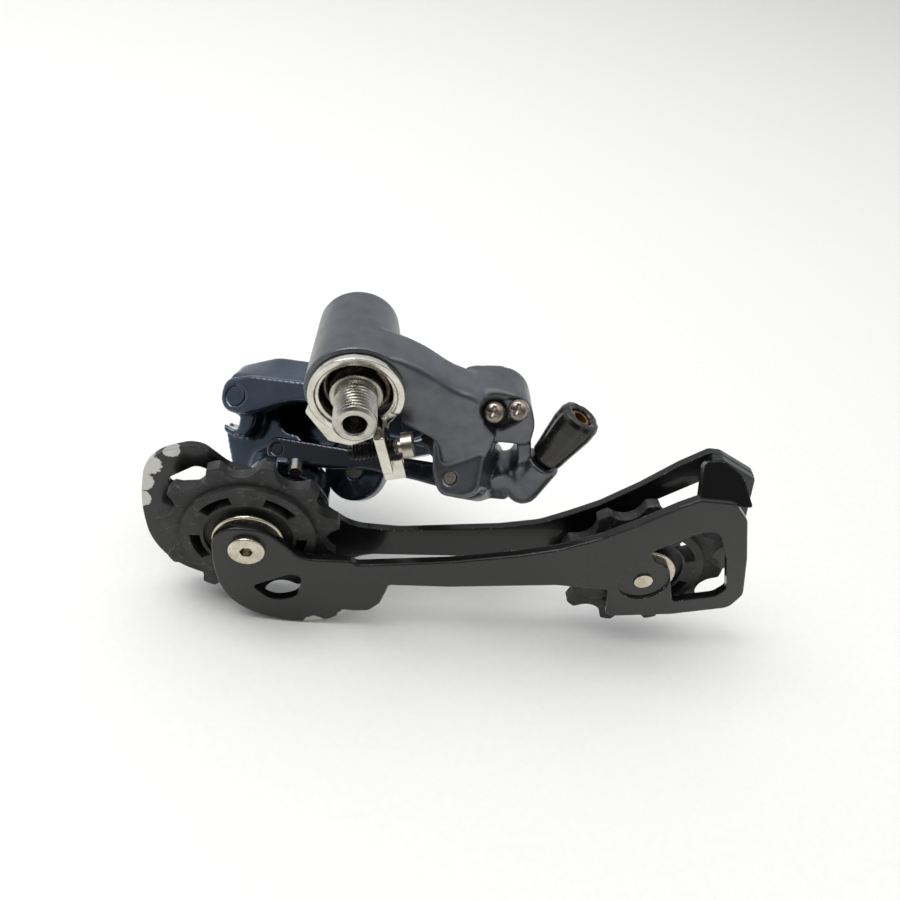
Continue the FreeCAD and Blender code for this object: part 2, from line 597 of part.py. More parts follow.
raw = cut("adjuster_cut", fuse("adjuster_all", stem, foot, neck, knob), mouth, bore, window, *flats)
piece("barrel_adjuster", raw)
liner = cylinder("liner_out", "ferrule_hole - 0.05", 5.4, knob_end - ADJ_DIR * 6.0, ADJ_DIR)
liner_hole = cylinder("liner_in", "cable_bore + 0.4", 30, knob_end - ADJ_DIR * 12, ADJ_DIR)
piece("adjuster_liner", cut("adjuster_liner_cut", liner, liner_hole))

# Inner link: a flat bar with round ends
half_w = V["link_half"]
bar_loop = rounded([(-half_w, -half_w, half_w * 0.98), (10, -1.9, 20), (24, -1.2, 20), (34, -half_w * 0.85, 12),
                    (LINK + half_w, -half_w, half_w * 0.98), (LINK + half_w, half_w, half_w * 0.98),
                    (-half_w, half_w, half_w * 0.98)])
bar = prism("inner_link_bar", [bar_loop], "link_thick", link_plane(LINK_NEAR))
pin_a = cylinder("inner_link_hole_a", "small_pin_rad + run_gap", 40, linked(0, 0, -5), PIN_AXIS)
pin_b = cylinder("inner_link_hole_b", "small_pin_rad", 40, linked(LINK, 0, -5), PIN_AXIS)
raw = cut("inner_link_cut", bar, pin_a, pin_b)


def link_edge(edge):
    depth = (edge.CenterOfMass - KNUCKLE_PIN).dot(PIN_AXIS)
    return abs(depth - LINK_NEAR) < 0.02 and edge.Length > 1.2 * math.pi * V["small_pin_rad"] * 2 - 6 \
        and not (len(edge.Vertexes) == 1)


piece("inner_link", soften("inner_link_round", raw, 0.6, link_edge))

# Outer link: two ears joined by an arched web, with a lobe that carries the cable anchor
DEPTH = V["link_depth"]
ear_r = V["ear_rad"]
p2 = (LINK + PIN_S, PIN_N)
near_ear_loop = [(PIN_S - ear_r, PIN_N - ear_r, ear_r * 0.98), (PIN_S + 6, PIN_N - ear_r, 3),
                 (30, PIN_N + 1.4, 15), (45, PIN_N + 1.0, 15), (p2[0] - 4, PIN_N - ear_r, 5),
                 (p2[0] + ear_r, PIN_N - ear_r, ear_r * 0.95), (p2[0] + ear_r, PIN_N + 4.2, 3.5),
                 (p2[0] - 3, PIN_N + 6.0, 5), (PIN_S + 10, PIN_N + 7.0, 5),
                 (PIN_S - ear_r, PIN_N + ear_r, ear_r * 0.98)]
near_ear = prism("outer_near_ear", [rounded(near_ear_loop)], EAR, link_plane(0))
WEB_NEAR = 2.6
WEB_FULL = 8.0
web_low = [(24, PIN_N + 5.2, 1), (58, PIN_N + 5.0, 5), (p2[0] + 2.8, PIN_N + 4.8, 1.2),
           (p2[0] + 4.5, PIN_N + 0.5, 0.6), (p2[0] + 5.2, PIN_N + 2.4, 0.6), (p2[0] + 3.2, PIN_N + 6.0, 2),
           (p2[0] - 5, PIN_N + 6.6, 8), (24, PIN_N + 7.4, 1)]
web_full = [(24, PIN_N + 5.2, 1), (60, PIN_N + 5.4, 5), (p2[0] + 3.0, PIN_N + 4.6, 1.6),
            (p2[0] + 5.4, PIN_N + 0.6, 0.8), (p2[0] + 7.4, PIN_N + 3.0, 0.8), (p2[0] + 4.5, PIN_N + 9.0, 4),
            (p2[0] - 6, PIN_N + 12.6, 10), (24, PIN_N + 12.6, 1)]


def outline_sketch(name, loop, place):
    sk = doc.addObject("Sketcher::SketchObject", name)
    sk.Placement = place
    sk.addGeometry(rounded(loop), False)
    return sk


web_slope = doc.addObject("Part::Loft", "outer_web_slope")
web_slope.Sections = [outline_sketch("web_low", web_low, link_plane(WEB_NEAR)),
                      outline_sketch("web_high", web_full, link_plane(WEB_FULL))]
web_slope.Solid = True
web_slope.Ruled = True
web = prism("outer_web", [rounded(web_full)], DEPTH - WEB_FULL, link_plane(WEB_FULL))
lug_clear = cylinder("outer_lug_clear", "ear_rad + face_gap", DEPTH - 2 * EAR, linked(p2[0], PIN_N, EAR), PIN_AXIS)
web = cut("outer_web_clear", fuse("outer_web_all", web_slope, web), lug_clear)
far_ear_loop = [(PIN_S - ear_r, PIN_N - ear_r, ear_r * 0.98), (24, 2.0, 6), (28, -7.0, 8), (38, -7.0, 8),
                (46, 2.0, 8), (p2[0] + ear_r, PIN_N - ear_r, ear_r * 0.9), (p2[0] + ear_r, PIN_N + 4, 3.5),
                (p2[0] - 2, PIN_N + 6.6, 4), (PIN_S + 10, PIN_N + 7.0, 4),
                (PIN_S - ear_r, PIN_N + ear_r, ear_r * 0.98)]
far_ear = prism("outer_far_ear", [rounded(far_ear_loop)], EAR, link_plane(DEPTH - EAR))
LOBE_S = 33.0
LOBE_N = -1.6
lobe = cylinder("outer_lobe", "lobe_rad", "ear_thick + 0.4", linked(LOBE_S, LOBE_N, DEPTH - EAR - 0.4), PIN_AXIS)
hole_a = cylinder("outer_hole_a", "big_pin_rad", 60, linked(PIN_S, PIN_N, -10), PIN_AXIS)
hole_b = cylinder("outer_hole_b", "big_pin_rad", 60, linked(p2[0], PIN_N, -10), PIN_AXIS)
anchor_hole = cylinder("outer_anchor_hole", "anchor_rad + 0.03", 60, linked(LOBE_S, LOBE_N, -10), PIN_AXIS)
raw = cut("outer_link_cut", fuse("outer_link_all", near_ear, web, far_ear, lobe), hole_a, hole_b, anchor_hole)


def outer_edge(edge):
    mid = edge.CenterOfMass - KNUCKLE_PIN
    if len(edge.Vertexes) == 1 or abs(mid.dot(PIN_AXIS)) > 0.02:
        return False
    return mid.dot(LINK_DIR) > 25 and mid.dot(CROSS_DIR) < PIN_N + 6.2


piece("outer_link", soften("outer_link_round", raw, 0.7, outer_edge))

# Link pins: fixed in the ears, or in the inner link at its cage end
pins = (("pin_inner_knuckle", "small_pin_rad", 0, 0, 0.0, LUG_NEAR + 7.0),
        ("pin_inner_cage", "small_pin_rad", LINK, 0, LINK_NEAR, LUG_NEAR + 6.0 - LINK_NEAR),
        ("pin_outer_knuckle", "big_pin_rad", PIN_S, PIN_N, 0.0, DEPTH),
        ("pin_outer_cage", "big_pin_rad", p2[0], PIN_N, 0.0, DEPTH))
for node, rad, s, n, d0, length in pins:
    piece(node, cylinder(node, rad, length, linked(s, n, d0), PIN_AXIS))

# Cable anchor: bolt with a hex recess and a grooved clamp plate
anchor_face = DEPTH
clamp = cylinder("clamp_disc", 5.4, 1.6, linked(LOBE_S, LOBE_N, anchor_face), PIN_AXIS)
clamp_hole = cylinder("clamp_hole", "anchor_rad + 0.15", 10, linked(LOBE_S, LOBE_N, anchor_face - 4), PIN_AXIS)
groove = cylinder("clamp_groove", 0.7, 20, linked(LOBE_S - 10, LOBE_N + 3.4, anchor_face), LINK_DIR)
piece("cable_clamp_plate", cut("cable_clamp_cut", clamp, clamp_hole, groove))
stem = cylinder("anchor_stem", "anchor_rad", EAR + 2.0, linked(LOBE_S, LOBE_N, anchor_face - EAR - 0.4), PIN_AXIS)
cap = cylinder("anchor_head", 4.2, 3.4, linked(LOBE_S, LOBE_N, anchor_face + 1.6), PIN_AXIS)
hexa = doc.addObject("Part::Prism", "anchor_hex")
hexa.Polygon = 6
hexa.Circumradius = 5.0 / math.sqrt(3)
hexa.Height = 5
hexa.Placement = turned(PIN_AXIS, linked(LOBE_S, LOBE_N, anchor_face + 2.6))
piece("cable_anchor_bolt", cut("cable_anchor_cut", fuse("anchor_all", stem, cap), hexa))

# Cage knuckle: spring drum on the cage axis, with lugs for both links
AX = V["cage_axle_x"]
AZ = V["cage_axle_z"]
drum_near = V["drum_near"]
drum_end = drum_near + V["drum_len"]
drum = cylinder("drum_blank", "drum_rad", "drum_len", (AX, drum_near, AZ), AWAY)


def drum_rim(edge):
    return abs(edge.CenterOfMass.y - drum_end) < 0.01 and len(edge.Vertexes) == 1


drum = soften("drum_round", drum, 1.5, drum_rim)
back_loop = [(LINK - 5.4, -4.0, 3), (LINK - 4.0, -11.5, 4), (LINK + 6, -14.0, 5), (LINK + 14.5, -7.0, 6),
             (LINK + 18.5, 2.5, 6), (p2[0] + 5.0, PIN_N - 2.0, 4), (p2[0] + 4.2, PIN_N + 4.2, 4),
             (p2[0] - 4.2, PIN_N + 4.2, 4), (LINK + 2.0, 5.2, 5), (LINK - 5.0, 4.6, 4)]
back = prism("cage_knuckle_back", [rounded(back_loop)], LUG_FAR - LUG_NEAR, link_plane(LUG_NEAR))
sweep = prism("web_sweep_room", [circle(p2[0], PIN_N, 8.6), circle(p2[0], PIN_N, V["ear_rad"] + 0.3)], 60,
              link_plane(-10))
sweep_side = box("web_sweep_side", 40, 40, 70, linked(p2[0] + 0.2, PIN_N - 20, -12), PIN_AXIS, LINK_DIR)
sweep_room = common("web_sweep", sweep, sweep_side)
upper_loop = [(p2[0] + 4.4, PIN_N - 10, 2), (p2[0] + 4.4, PIN_N + 4.4, 4.2), (p2[0] - 4.4, PIN_N + 4.4, 4.2),
              (p2[0] - 4.6, PIN_N - 6, 3), (p2[0] - 3.0, PIN_N - 10, 2)]
upper = prism("cage_knuckle_upper", [rounded(upper_loop)], LUG_FAR - LINK_NEAR, link_plane(LINK_NEAR))
neck = cylinder("cage_knuckle_neck", 9.0, 6.5, (AX - 1.5, drum_end - 2.0, AZ + 0.5), AWAY)
stop_lug = box("cage_stop_lug", 3.2, 2.4, 5.0, (AX + 2.0 - 1.6 - 0.15 - 3.2, drum_near, AZ + V["drum_rad"] - 0.8))
mass = fuse("cage_knuckle_mass", drum, back, upper, neck, stop_lug)
room = cylinder("drum_room", "drum_rad - drum_wall", "drum_len - 2.4", (AX, drum_near - 0.02, AZ), AWAY)
bore = cylinder("drum_bore", "cage_axle_rad + run_gap + bush_wall", V["drum_len"] + 0.4,
                (AX, drum_near - 0.1, AZ), AWAY)
clip_room = cylinder("clip_room", "cage_axle_rad + 1.8", 3.2, (AX, drum_end - 2.3, AZ), AWAY)
low = -V["link_half"] - 0.8
room_loop = [(LINK - low, low, 3.5), (LINK - low, 3.5, 3.5), (LINK - 8, 40, 1), (LINK - 45, 40, 1), (LINK - 45, low, 1)]
link_room = prism("link_end_room", [rounded(room_loop)], LUG_NEAR - EAR + 0.1, link_plane(EAR - 0.1))
open_hole = cylinder("open_pin_hole", "small_pin_rad + 0.35", 40, linked(LINK, 0, LUG_NEAR - 12), PIN_AXIS)
lug_hole = cylinder("lug_pin_hole", "big_pin_rad + run_gap", 60, linked(p2[0], PIN_N, -10), PIN_AXIS)
slab = box("near_keep_out", 120, 60, 120, (AX - 60, drum_near - 60, AZ - 60))
raw = cut("p_knuckle_cut", mass, room, bore, clip_room, link_room, open_hole, lug_hole, slab, sweep_room)
piece("p_knuckle", raw)
wound("p_spring", "pspring_wire", "pspring_rad", "pspring_pitch", "pspring_turns",
      (AX, drum_near + V["pspring_wire"] / 2 + 0.5, AZ), AWAY, (1, 0, 0))
bush = cylinder("p_bushing_out", "cage_axle_rad + run_gap + bush_wall", "drum_len - 2.6",
                (AX, drum_near + 0.1, AZ), AWAY)
bush_hole = cylinder("p_bushing_in", "cage_axle_rad + run_gap", 40, (AX, drum_near - 5, AZ), AWAY)
piece("p_pivot_bushing", cut("p_pivot_bushing_cut", bush, bush_hole))

# Cage plates
GX = V["guide_x"]
GZ = V["guide_z"]
TX = GX + V["pulley_span"]
TZ = GZ
MID = V["cage_mid_y"]
IN_FACE = MID - V["plate_gap"] / 2
OUT_FACE = MID + V["plate_gap"] / 2
IN_NEAR = IN_FACE - V["plate_thick"]
OUT_FAR = OUT_FACE + V["plate_thick"]


def g(x, z, r):
    """Outline point given from the guide pulley's axis."""
    return (GX + x, GZ + z, r)


def t(x, z, r):
    """Outline point given from the tension pulley's axis."""
    return (TX + x, TZ + z, r)


inner_outline = [
    g(-8.4, -5, 30), g(-8.9, 2.6, 30), g(-4.8, 7.0, 30), g(3.8, 7.0, 30), g(8.4, 2.8, 30), g(12.6, -1.6, 10),
    g(16.2, -2.4, 2), g(26.0, -1.8, 1.5), g(28.0, -3.0, 2), t(-52.5, 1.2, 20), t(-35, 6.0, 15),
    t(-25.5, 9.5, 15), t(-16.4, 14.6, 15), t(-8, 21.2, 15), t(0.2, 28.5, 6), t(4.4, 31.6, 2.0), t(13.6, 31.6, 2.5),
    t(19.0, 26.0, 4), t(24.6, 12.1, 12), t(29.2, -2.0, 4), t(27.2, -7.8, 3.5), t(12.0, -12.6, 6),
    t(-3.4, -15.2, 2), t(-6.2, -14.6, 0.8), t(-8.6, -4.6, 1.0), t(-23, -4.4, 8), t(-51, -8.6, 8),
    g(37.0, -9.8, 0.8), g(36.6, -12.5, 0.6), g(35.6, -17.6, 1), g(33.0, -21.0, 2.5), g(27.2, -21.8, 3),
    g(23.0, -26.0, 9), g(14.0, -28.4, 60), g(3.2, -26.0, 60), g(-4.2, -20.4, 60), g(-7.4, -12.0, 60)]
teardrop = [g(1.6, -14.2, 1.2), g(11.3, -8.3, 3), g(14.2, -9.0, 2.5), g(14.2, -16.9, 4), g(7.4, -20.0, 7)]
tail_window = [t(-3.1, 10.6, 2.5), t(8.3, 20.4, 3), t(13.2, 21.6, 3.5), t(19.1, 11.4, 5), t(23.6, -0.4, 2),
               t(21.4, -3.6, 2), t(10.5, -7.2, 1.5), t(8.4, -2.0, 3), t(5.4, 5.6, 3)]
blank = prism("inner_plate_blank", [rounded(inner_outline)], "plate_thick", flat_xz(IN_FACE))


def plate_edges(edge):
    y = edge.CenterOfMass.y
    flat = abs(edge.BoundBox.YMin - edge.BoundBox.YMax) < 0.01
    return flat and (abs(y - IN_NEAR) < 0.01 or abs(y - OUT_FAR) < 0.01)


blank = soften("inner_plate_round", blank, V["edge_round"], plate_edges)
win_a = prism("inner_teardrop", [rounded(teardrop)], 8, flat_xz(IN_FACE + 3))
win_b = prism("inner_tail_window", [rounded(tail_window)], 8, flat_xz(IN_FACE + 3))
bolt_hole = cylinder("inner_bolt_hole", "pulley_bolt_rad + 0.1", 20, (GX, IN_NEAR - 5, GZ), AWAY)
tens_hole = cylinder("inner_tension_hole", "pulley_bolt_rad", 20, (TX, IN_NEAR - 5, TZ), AWAY)
recess = cylinder("inner_recess", "recess_rad", "recess_deep + 5", (TX, IN_NEAR - 5, TZ), AWAY)
# the tail's ear leans away from the wheel, over the pulley
tab_dir = Vector(0, 0.62, 0.785).normalize()
tab_loop = [(TX + 4.4, 0, 0.5), (TX + 4.4, 10.2, 1.6), (TX + 9.6, 10.8, 3), (TX + 15.0, 7.4, 5), (TX + 18.4, 0, 0.5)]
tab = prism("inner_tab", [rounded(tab_loop)], "plate_thick", turned((0, -0.785, 0.62), (0, IN_FACE - 0.35, TZ + 29.4),
            (1, 0, 0)))
raw = cut("inner_plate_cut", fuse("inner_plate_all", blank, tab), win_a, win_b, bolt_hole, tens_hole, recess)
piece("inner_cage_plate", raw)

outer_outline = [
    g(-19.6, -21.0, 60), g(-25.8, -12, 60), g(-27.8, 2, 90), g(-26.4, 15.0, 9), g(-21.8, 19.8, 12), g(-15.4, 22.6, 12),
    g(-12.0, 22.0, 4), g(-6, 16.6, 8), g(6.0, 14.0, 20), g(14.0, 10.5, 20), g(19.5, 4.0, 12), g(26.4, -0.8, 12),
    g(38.7, -0.8, 15), t(-39, 3.8, 20), t(-28.8, 6.7, 12), t(-21.7, 11.1, 12), t(-14.8, 15.8, 12),
    t(-6.4, 23.6, 12), t(1.5, 32.2, 12), t(7.5, 37.5, 2), t(10.6, 37.5, 2.5), t(21.1, 32.4, 2), t(22.6, 30.0, 2),
    t(25.8, 16, 10), t(28.6, -2, 5), t(25.6, -8.4, 4), t(10, -12.6, 5), t(-6.0, -12.4, 3), t(-12, -5.4, 5),
    t(-51, -8.8, 10), g(30.0, -11.0, 12), g(22, -18, 30), g(10, -24.2, 60), g(-6, -26.6, 60)]
hook_window = [g(-20.6, 11.2, 2.5), g(-14.0, 16.2, 2.5), g(-9.6, 14.6, 2), g(-12.6, 9.4, 2), g(-20.8, 7.8, 2)]
outer_window = [t(-6.0, 15.0, 2), t(10.2, 29.2, 2), t(15.6, 24.4, 3), t(19.0, 11.0, 4), t(22.6, -0.6, 3),
                t(10.5, -7.0, 2), t(7.4, 3.6, 4), t(0.6, 10.0, 3)]
blank = prism("outer_plate_blank", [rounded(outer_outline)], "plate_thick", flat_xz(OUT_FAR))
blank = soften("outer_plate_round", blank, V["edge_round"], plate_edges)
win_a = prism("outer_hook_window", [rounded(hook_window)], 8, flat_xz(OUT_FAR + 3))
win_b = prism("outer_tail_window", [rounded(outer_window)], 8, flat_xz(OUT_FAR + 3))
bolt_hole = cylinder("outer_bolt_hole", "pulley_bolt_rad", 20, (GX, OUT_FACE - 5, GZ), AWAY)
tens_hole = cylinder("outer_tension_hole", "pulley_bolt_rad + 0.1", 20, (TX, OUT_FACE - 5, TZ), AWAY)
axle_hole = cylinder("outer_axle_hole", "cage_axle_rad", 20, (AX, OUT_FACE - 5, AZ), AWAY)
# the outer plate's top edge is flanged towards the wheel at the tail
flange = prism("outer_flange", [rounded([(TX + 7.6, 34.6, 1), (TX + 7.9, 37.3, 0.8), (TX + 10.6, 37.4, 1.5),
               (TX + 21.0, 32.3, 1), (TX + 20.0, 29.8, 0.8), (TX + 10.2, 34.8, 1)])], 2.4,
               turned((0, -1, 0), (0, OUT_FACE + 0.2, TZ), (1, 0, 0)))
raw = cut("outer_plate_cut", fuse("outer_plate_all", blank, flange), win_a, win_b, bolt_hole, tens_hole, axle_hole)
piece("outer_cage_plate", raw)

# Cage axle: riveted in the outer plate, flanged, grooved for its clip
stub = cylinder("axle_stub", "cage_axle_rad", OUT_FAR - OUT_FACE, (AX, OUT_FACE, AZ), AWAY)
flange = cylinder("axle_flange", "cage_axle_rad + 1.4", drum_near - 0.25 - OUT_FAR, (AX, OUT_FAR, AZ), AWAY)
shaft = cylinder("axle_shaft", "cage_axle_rad", drum_end + 0.1 - OUT_FAR, (AX, OUT_FAR, AZ), AWAY)
groove_out = cylinder("axle_groove_out", "cage_axle_rad + 1", 0.8, (AX, drum_end - 1.6, AZ), AWAY)
groove_in = cylinder("axle_groove_in", "cage_axle_rad - 0.7", 0.8, (AX, drum_end - 1.6, AZ), AWAY)
groove = cut("axle_groove", groove_out, groove_in)
piece("p_axle", cut("p_axle_cut", fuse("p_axle_all", stub, flange, shaft), groove))
clip = cylinder("clip_out", "cage_axle_rad + 1.2", 0.7, (AX, drum_end - 1.55, AZ), AWAY)
clip_in = cylinder("clip_in", "cage_axle_rad - 0.65", 2, (AX, drum_end - 2, AZ), AWAY)
clip_cut = box("clip_gap", 10, 3, 3.4, (AX, drum_end - 2.5, AZ - 1.7))
piece("axle_clip", cut("axle_clip_cut", clip, clip_in, clip_cut))
cover = cylinder("cover_out", "drum_rad - 0.3", drum_near - 0.6 - OUT_FAR, (AX, OUT_FAR, AZ), AWAY)
cover_in = cylinder("cover_in", "cage_axle_rad + 1.5", 9, (AX, OUT_FAR - 2, AZ), AWAY)
cover_notch = cylinder("cover_notch", "pulley_bolt_rad + 0.4", 9, (GX, OUT_FAR - 2, GZ), AWAY)
piece("p_seal_ring", cut("p_seal_cut", cover, cover_in, cover_notch))
STOP_AT = Vector(AX + 2.0, OUT_FAR, AZ + V["drum_rad"] + 2.8)
pin = cylinder("stop_pin_shaft", 1.6, 3.7, STOP_AT, AWAY)
piece("cage_stop_pin", pin)

# Pulleys: teeth with round roller seats, arc slots, a bushing, two caps and a bolt each


def gear_outline(phase):
    """Closed outline of the toothed wheel about (0, 0)."""
    teeth = int(V["teeth"])
    seat = V["seat_rad"]
    seat_at = V["root_rad"] + seat
    edges = []
    spread = math.radians(58)
    land = V["crown_half"] / V["tip_rad"]
    tips = []
    for k in range(teeth):
        a = phase + 2 * math.pi * k / teeth
        c = Vector(seat_at * math.cos(a), seat_at * math.sin(a), 0)
        inward = a + math.pi
        first = c + Vector(math.cos(inward + spread), math.sin(inward + spread), 0) * seat
        mid = c + Vector(math.cos(inward), math.sin(inward), 0) * seat
        last = c + Vector(math.cos(inward - spread), math.sin(inward - spread), 0) * seat
        tooth = a + math.pi / teeth
        tip_a = Vector(math.cos(tooth - land), math.sin(tooth - land), 0) * V["tip_rad"]
        tip_m = Vector(math.cos(tooth), math.sin(tooth), 0) * (V["tip_rad"] + 0.12)
        tip_b = Vector(math.cos(tooth + land), math.sin(tooth + land), 0) * V["tip_rad"]
        tips.append((first, mid, last, tip_a, tip_m, tip_b))
    for k in range(teeth):
        first, mid, last, tip_a, tip_m, tip_b = tips[k]
        following = tips[(k + 1) % teeth][0]
        edges.append(Part.Arc(first, mid, last))
        edges.append(Part.LineSegment(last, tip_a))
        edges.append(Part.Arc(tip_a, tip_m, tip_b))
        edges.append(Part.LineSegment(tip_b, following))
    return edges


def slot_outline(middle, span):
    r0 = V["slot_in_rad"]
    r1 = V["slot_out_rad"]

    def at(radius, angle):
        return Vector(radius * math.cos(angle), radius * math.sin(angle), 0)

    a0 = middle - span / 2
    a1 = middle + span / 2
    return [Part.Arc(at(r1, a0), at(r1, middle), at(r1, a1)), Part.LineSegment(at(r1, a1), at(r0, a1)),
            Part.Arc(at(r0, a1), at(r0, middle), at(r0, a0)), Part.LineSegment(at(r0, a0), at(r1, a0))]


def pulley(node, x, z, phase_deg):
    """Toothed wheel as a body: teeth pad, hub pad and slot pocket on its own planes."""
    body = doc.addObject("PartDesign::Body", node + "_body")
    body.Placement = turned((0, -1, 0), (x, MID, z), (1, 0, 0))
    plane = [f for f in body.Origin.OriginFeatures if f.Role == "XY_Plane"][0]
    phase = math.radians(phase_deg)

    def new_sketch(tag, loops):
        sk = body.newObject("Sketcher::SketchObject", node + "_" + tag)
        sk.AttachmentSupport = [(plane, "")]
        sk.MapMode = "FlatFace"
        for loop in loops:
            sk.addGeometry(loop, False)
        return sk

    teeth_pad = body.newObject("PartDesign::Pad", node + "_teeth")
    teeth_pad.Profile = new_sketch("teeth_sketch", [gear_outline(phase)])
    bind(teeth_pad, "Length", "tooth_thick")
    teeth_pad.Midplane = True
    hub_pad = body.newObject("PartDesign::Pad", node + "_hub")
    hub_pad.Profile = new_sketch("hub_sketch", [circle(0, 0, V["hub_rad"])])
    bind(hub_pad, "Length", "hub_thick")
    hub_pad.Midplane = True
    doc.recompute()
    full = body.Shape.Volume
    slots = [circle(0, 0, V["pulley_bush_rad"] + V["run_gap"])]
    for k in range(5):
        slots.append(slot_outline(phase + math.radians(72 * k + 25), math.radians(36)))
    pocket = body.newObject("PartDesign::Pocket", node + "_slots")
    pocket.Profile = new_sketch("slot_sketch", slots)
    pocket.Type = 1
    pocket.Midplane = True
    doc.recompute()
    print(node, "slots took", round(full - body.Shape.Volume), "cubic mm")
    dish = doc.addObject("Part::Cut", node + "_dished")
    dish.Base = body
    rims = []
    for side, y in (("near", MID - V["hub_thick"] / 2 - 1.0), ("far", MID + V["hub_thick"] / 2 - 1.0)):
        out = cylinder(node + "_rim_out_" + side, "slot_in_rad - 0.9", 2.0, (x, y, z), AWAY)
        core = cylinder(node + "_rim_in_" + side, "pulley_bush_rad + 1.6", 2.0, (x, y, z), AWAY)
        rims.append(cut(node + "_rim_" + side, out, core))
    dish.Tool = fuse(node + "_rims", *rims)
    piece(node, dish)


pulley("guide_pulley", GX, GZ, 32)
pulley("tension_pulley", TX, TZ, 17)

PLATE_IN = V["plate_gap"] / 2
BUSH_HALF = PLATE_IN - V["cap_thick"]
for tag, x, z in (("guide", GX, GZ), ("tension", TX, TZ)):
    out = cylinder(tag + "_bush_out", "pulley_bush_rad", 2 * BUSH_HALF, (x, MID - BUSH_HALF, z), AWAY)
    way = cylinder(tag + "_bush_in", "pulley_bolt_rad + 0.1", 30, (x, MID - 15, z), AWAY)
    piece(tag + "_pulley_bushing", cut(tag + "_bush", out, way))
    caps = []
    for side in (-1, 1):
        base_y = MID - PLATE_IN if side < 0 else MID + BUSH_HALF
        disc = cylinder("%s_cap%d" % (tag, side + 1), "cap_rad", "cap_thick", (x, base_y, z), AWAY)
        way = cylinder("%s_cap_in%d" % (tag, side + 1), "pulley_bolt_rad + 0.1", 30, (x, MID - 15, z), AWAY)
        cap = cut("%s_cap_cut%d" % (tag, side + 1), disc, way)
        y_far = MID - PLATE_IN if side < 0 else MID + PLATE_IN

        def cap_rim(edge, y_far=y_far):
            big = hasattr(edge.Curve, "Radius") and edge.Curve.Radius > V["cap_rad"] - 0.1
            return big and len(edge.Vertexes) == 1 and abs(edge.CenterOfMass.y - y_far) < 0.01

        caps.append(soften("%s_cap_round%d" % (tag, side + 1), cap, V["cap_thick"] * 0.6, cap_rim))
    pair = doc.addObject("Part::Compound", tag + "_caps")
    pair.Links = caps
    piece(tag + "_bearing_caps", pair)

# Guide bolt: its head stands on the inner plate
shaft = cylinder("guide_bolt_shaft", "pulley_bolt_rad", OUT_FAR - IN_NEAR, (GX, IN_NEAR, GZ), AWAY)
head = cylinder("guide_bolt_head", "bolt_cap_rad", "bolt_cap_len", (GX, IN_NEAR - V["bolt_cap_len"], GZ), AWAY)
socket = doc.addObject("Part::Prism", "guide_bolt_hex")
socket.Polygon = 6
socket.Circumradius = 3.0 / math.sqrt(3)
socket.Height = 3.2
socket.Placement = turned(AWAY, (GX, IN_NEAR - V["bolt_cap_len"] - 0.2, GZ))
raw = cut("guide_bolt_cut", fuse("guide_bolt_all", shaft, head), socket)


def head_rim(edge):
    big = hasattr(edge.Curve, "Radius") and edge.Curve.Radius > V["bolt_cap_rad"] - 0.1
    return big and len(edge.Vertexes) == 1 and edge.CenterOfMass.y < IN_NEAR - V["bolt_cap_len"] + 0.01


piece("guide_pulley_bolt", soften("guide_bolt_round", raw, 0.4, head_rim))

# Tension bolt: its head stands on the outer plate, its end shows in the recess
bolt_start = IN_NEAR + V["recess_deep"] - 0.5
shaft = cylinder("tension_bolt_shaft", "pulley_bolt_rad", OUT_FAR - bolt_start, (TX, bolt_start, TZ), AWAY)
head = cylinder("tension_bolt_head", "bolt_cap_rad", "bolt_cap_len", (TX, OUT_FAR, TZ), AWAY)
socket = doc.addObject("Part::Prism", "tension_bolt_hex")
socket.Polygon = 6
socket.Circumradius = 3.0 / math.sqrt(3)
socket.Height = 3.2
socket.Placement = turned(AWAY, (TX, OUT_FAR + V["bolt_cap_len"] - 2.6, TZ))
piece("tension_pulley_bolt", cut("tension_bolt_cut", fuse("tension_bolt_all", shaft, head), socket))

doc.recompute()

bad = [o.Label for o in doc.Objects if "Invalid" in o.State or "Error" in o.State]
for node, obj in PIECES.items():
    shape = obj.Shape
    if shape.isNull() or not shape.isValid():
        bad.append(node)
if bad:
    raise SystemExit("failed objects: " + ", ".join(sorted(set(bad))))

os.makedirs("parts", exist_ok=True)
for node, obj in PIECES.items():
    solids = obj.Shape.Solids
    print("%-24s solids %d  volume %8.1f" % (node, len(solids), obj.Shape.Volume))
    obj.Shape.exportStep("parts/%s.step" % node)
print("pieces", len(PIECES))
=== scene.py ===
# %% [markdown]
# A rear derailleur moves a bicycle's chain from sprocket to sprocket.
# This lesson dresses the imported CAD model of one: a cast knuckle on the hanger bolt, two links,
# a sprung cage and two toothed pulleys. The CAD gives every size and every moving body,
# so we start by loading it and writing down how big it is.

# %% Load the frame
import bmesh
import bpy
import json
import math
from mathutils import Matrix, Vector

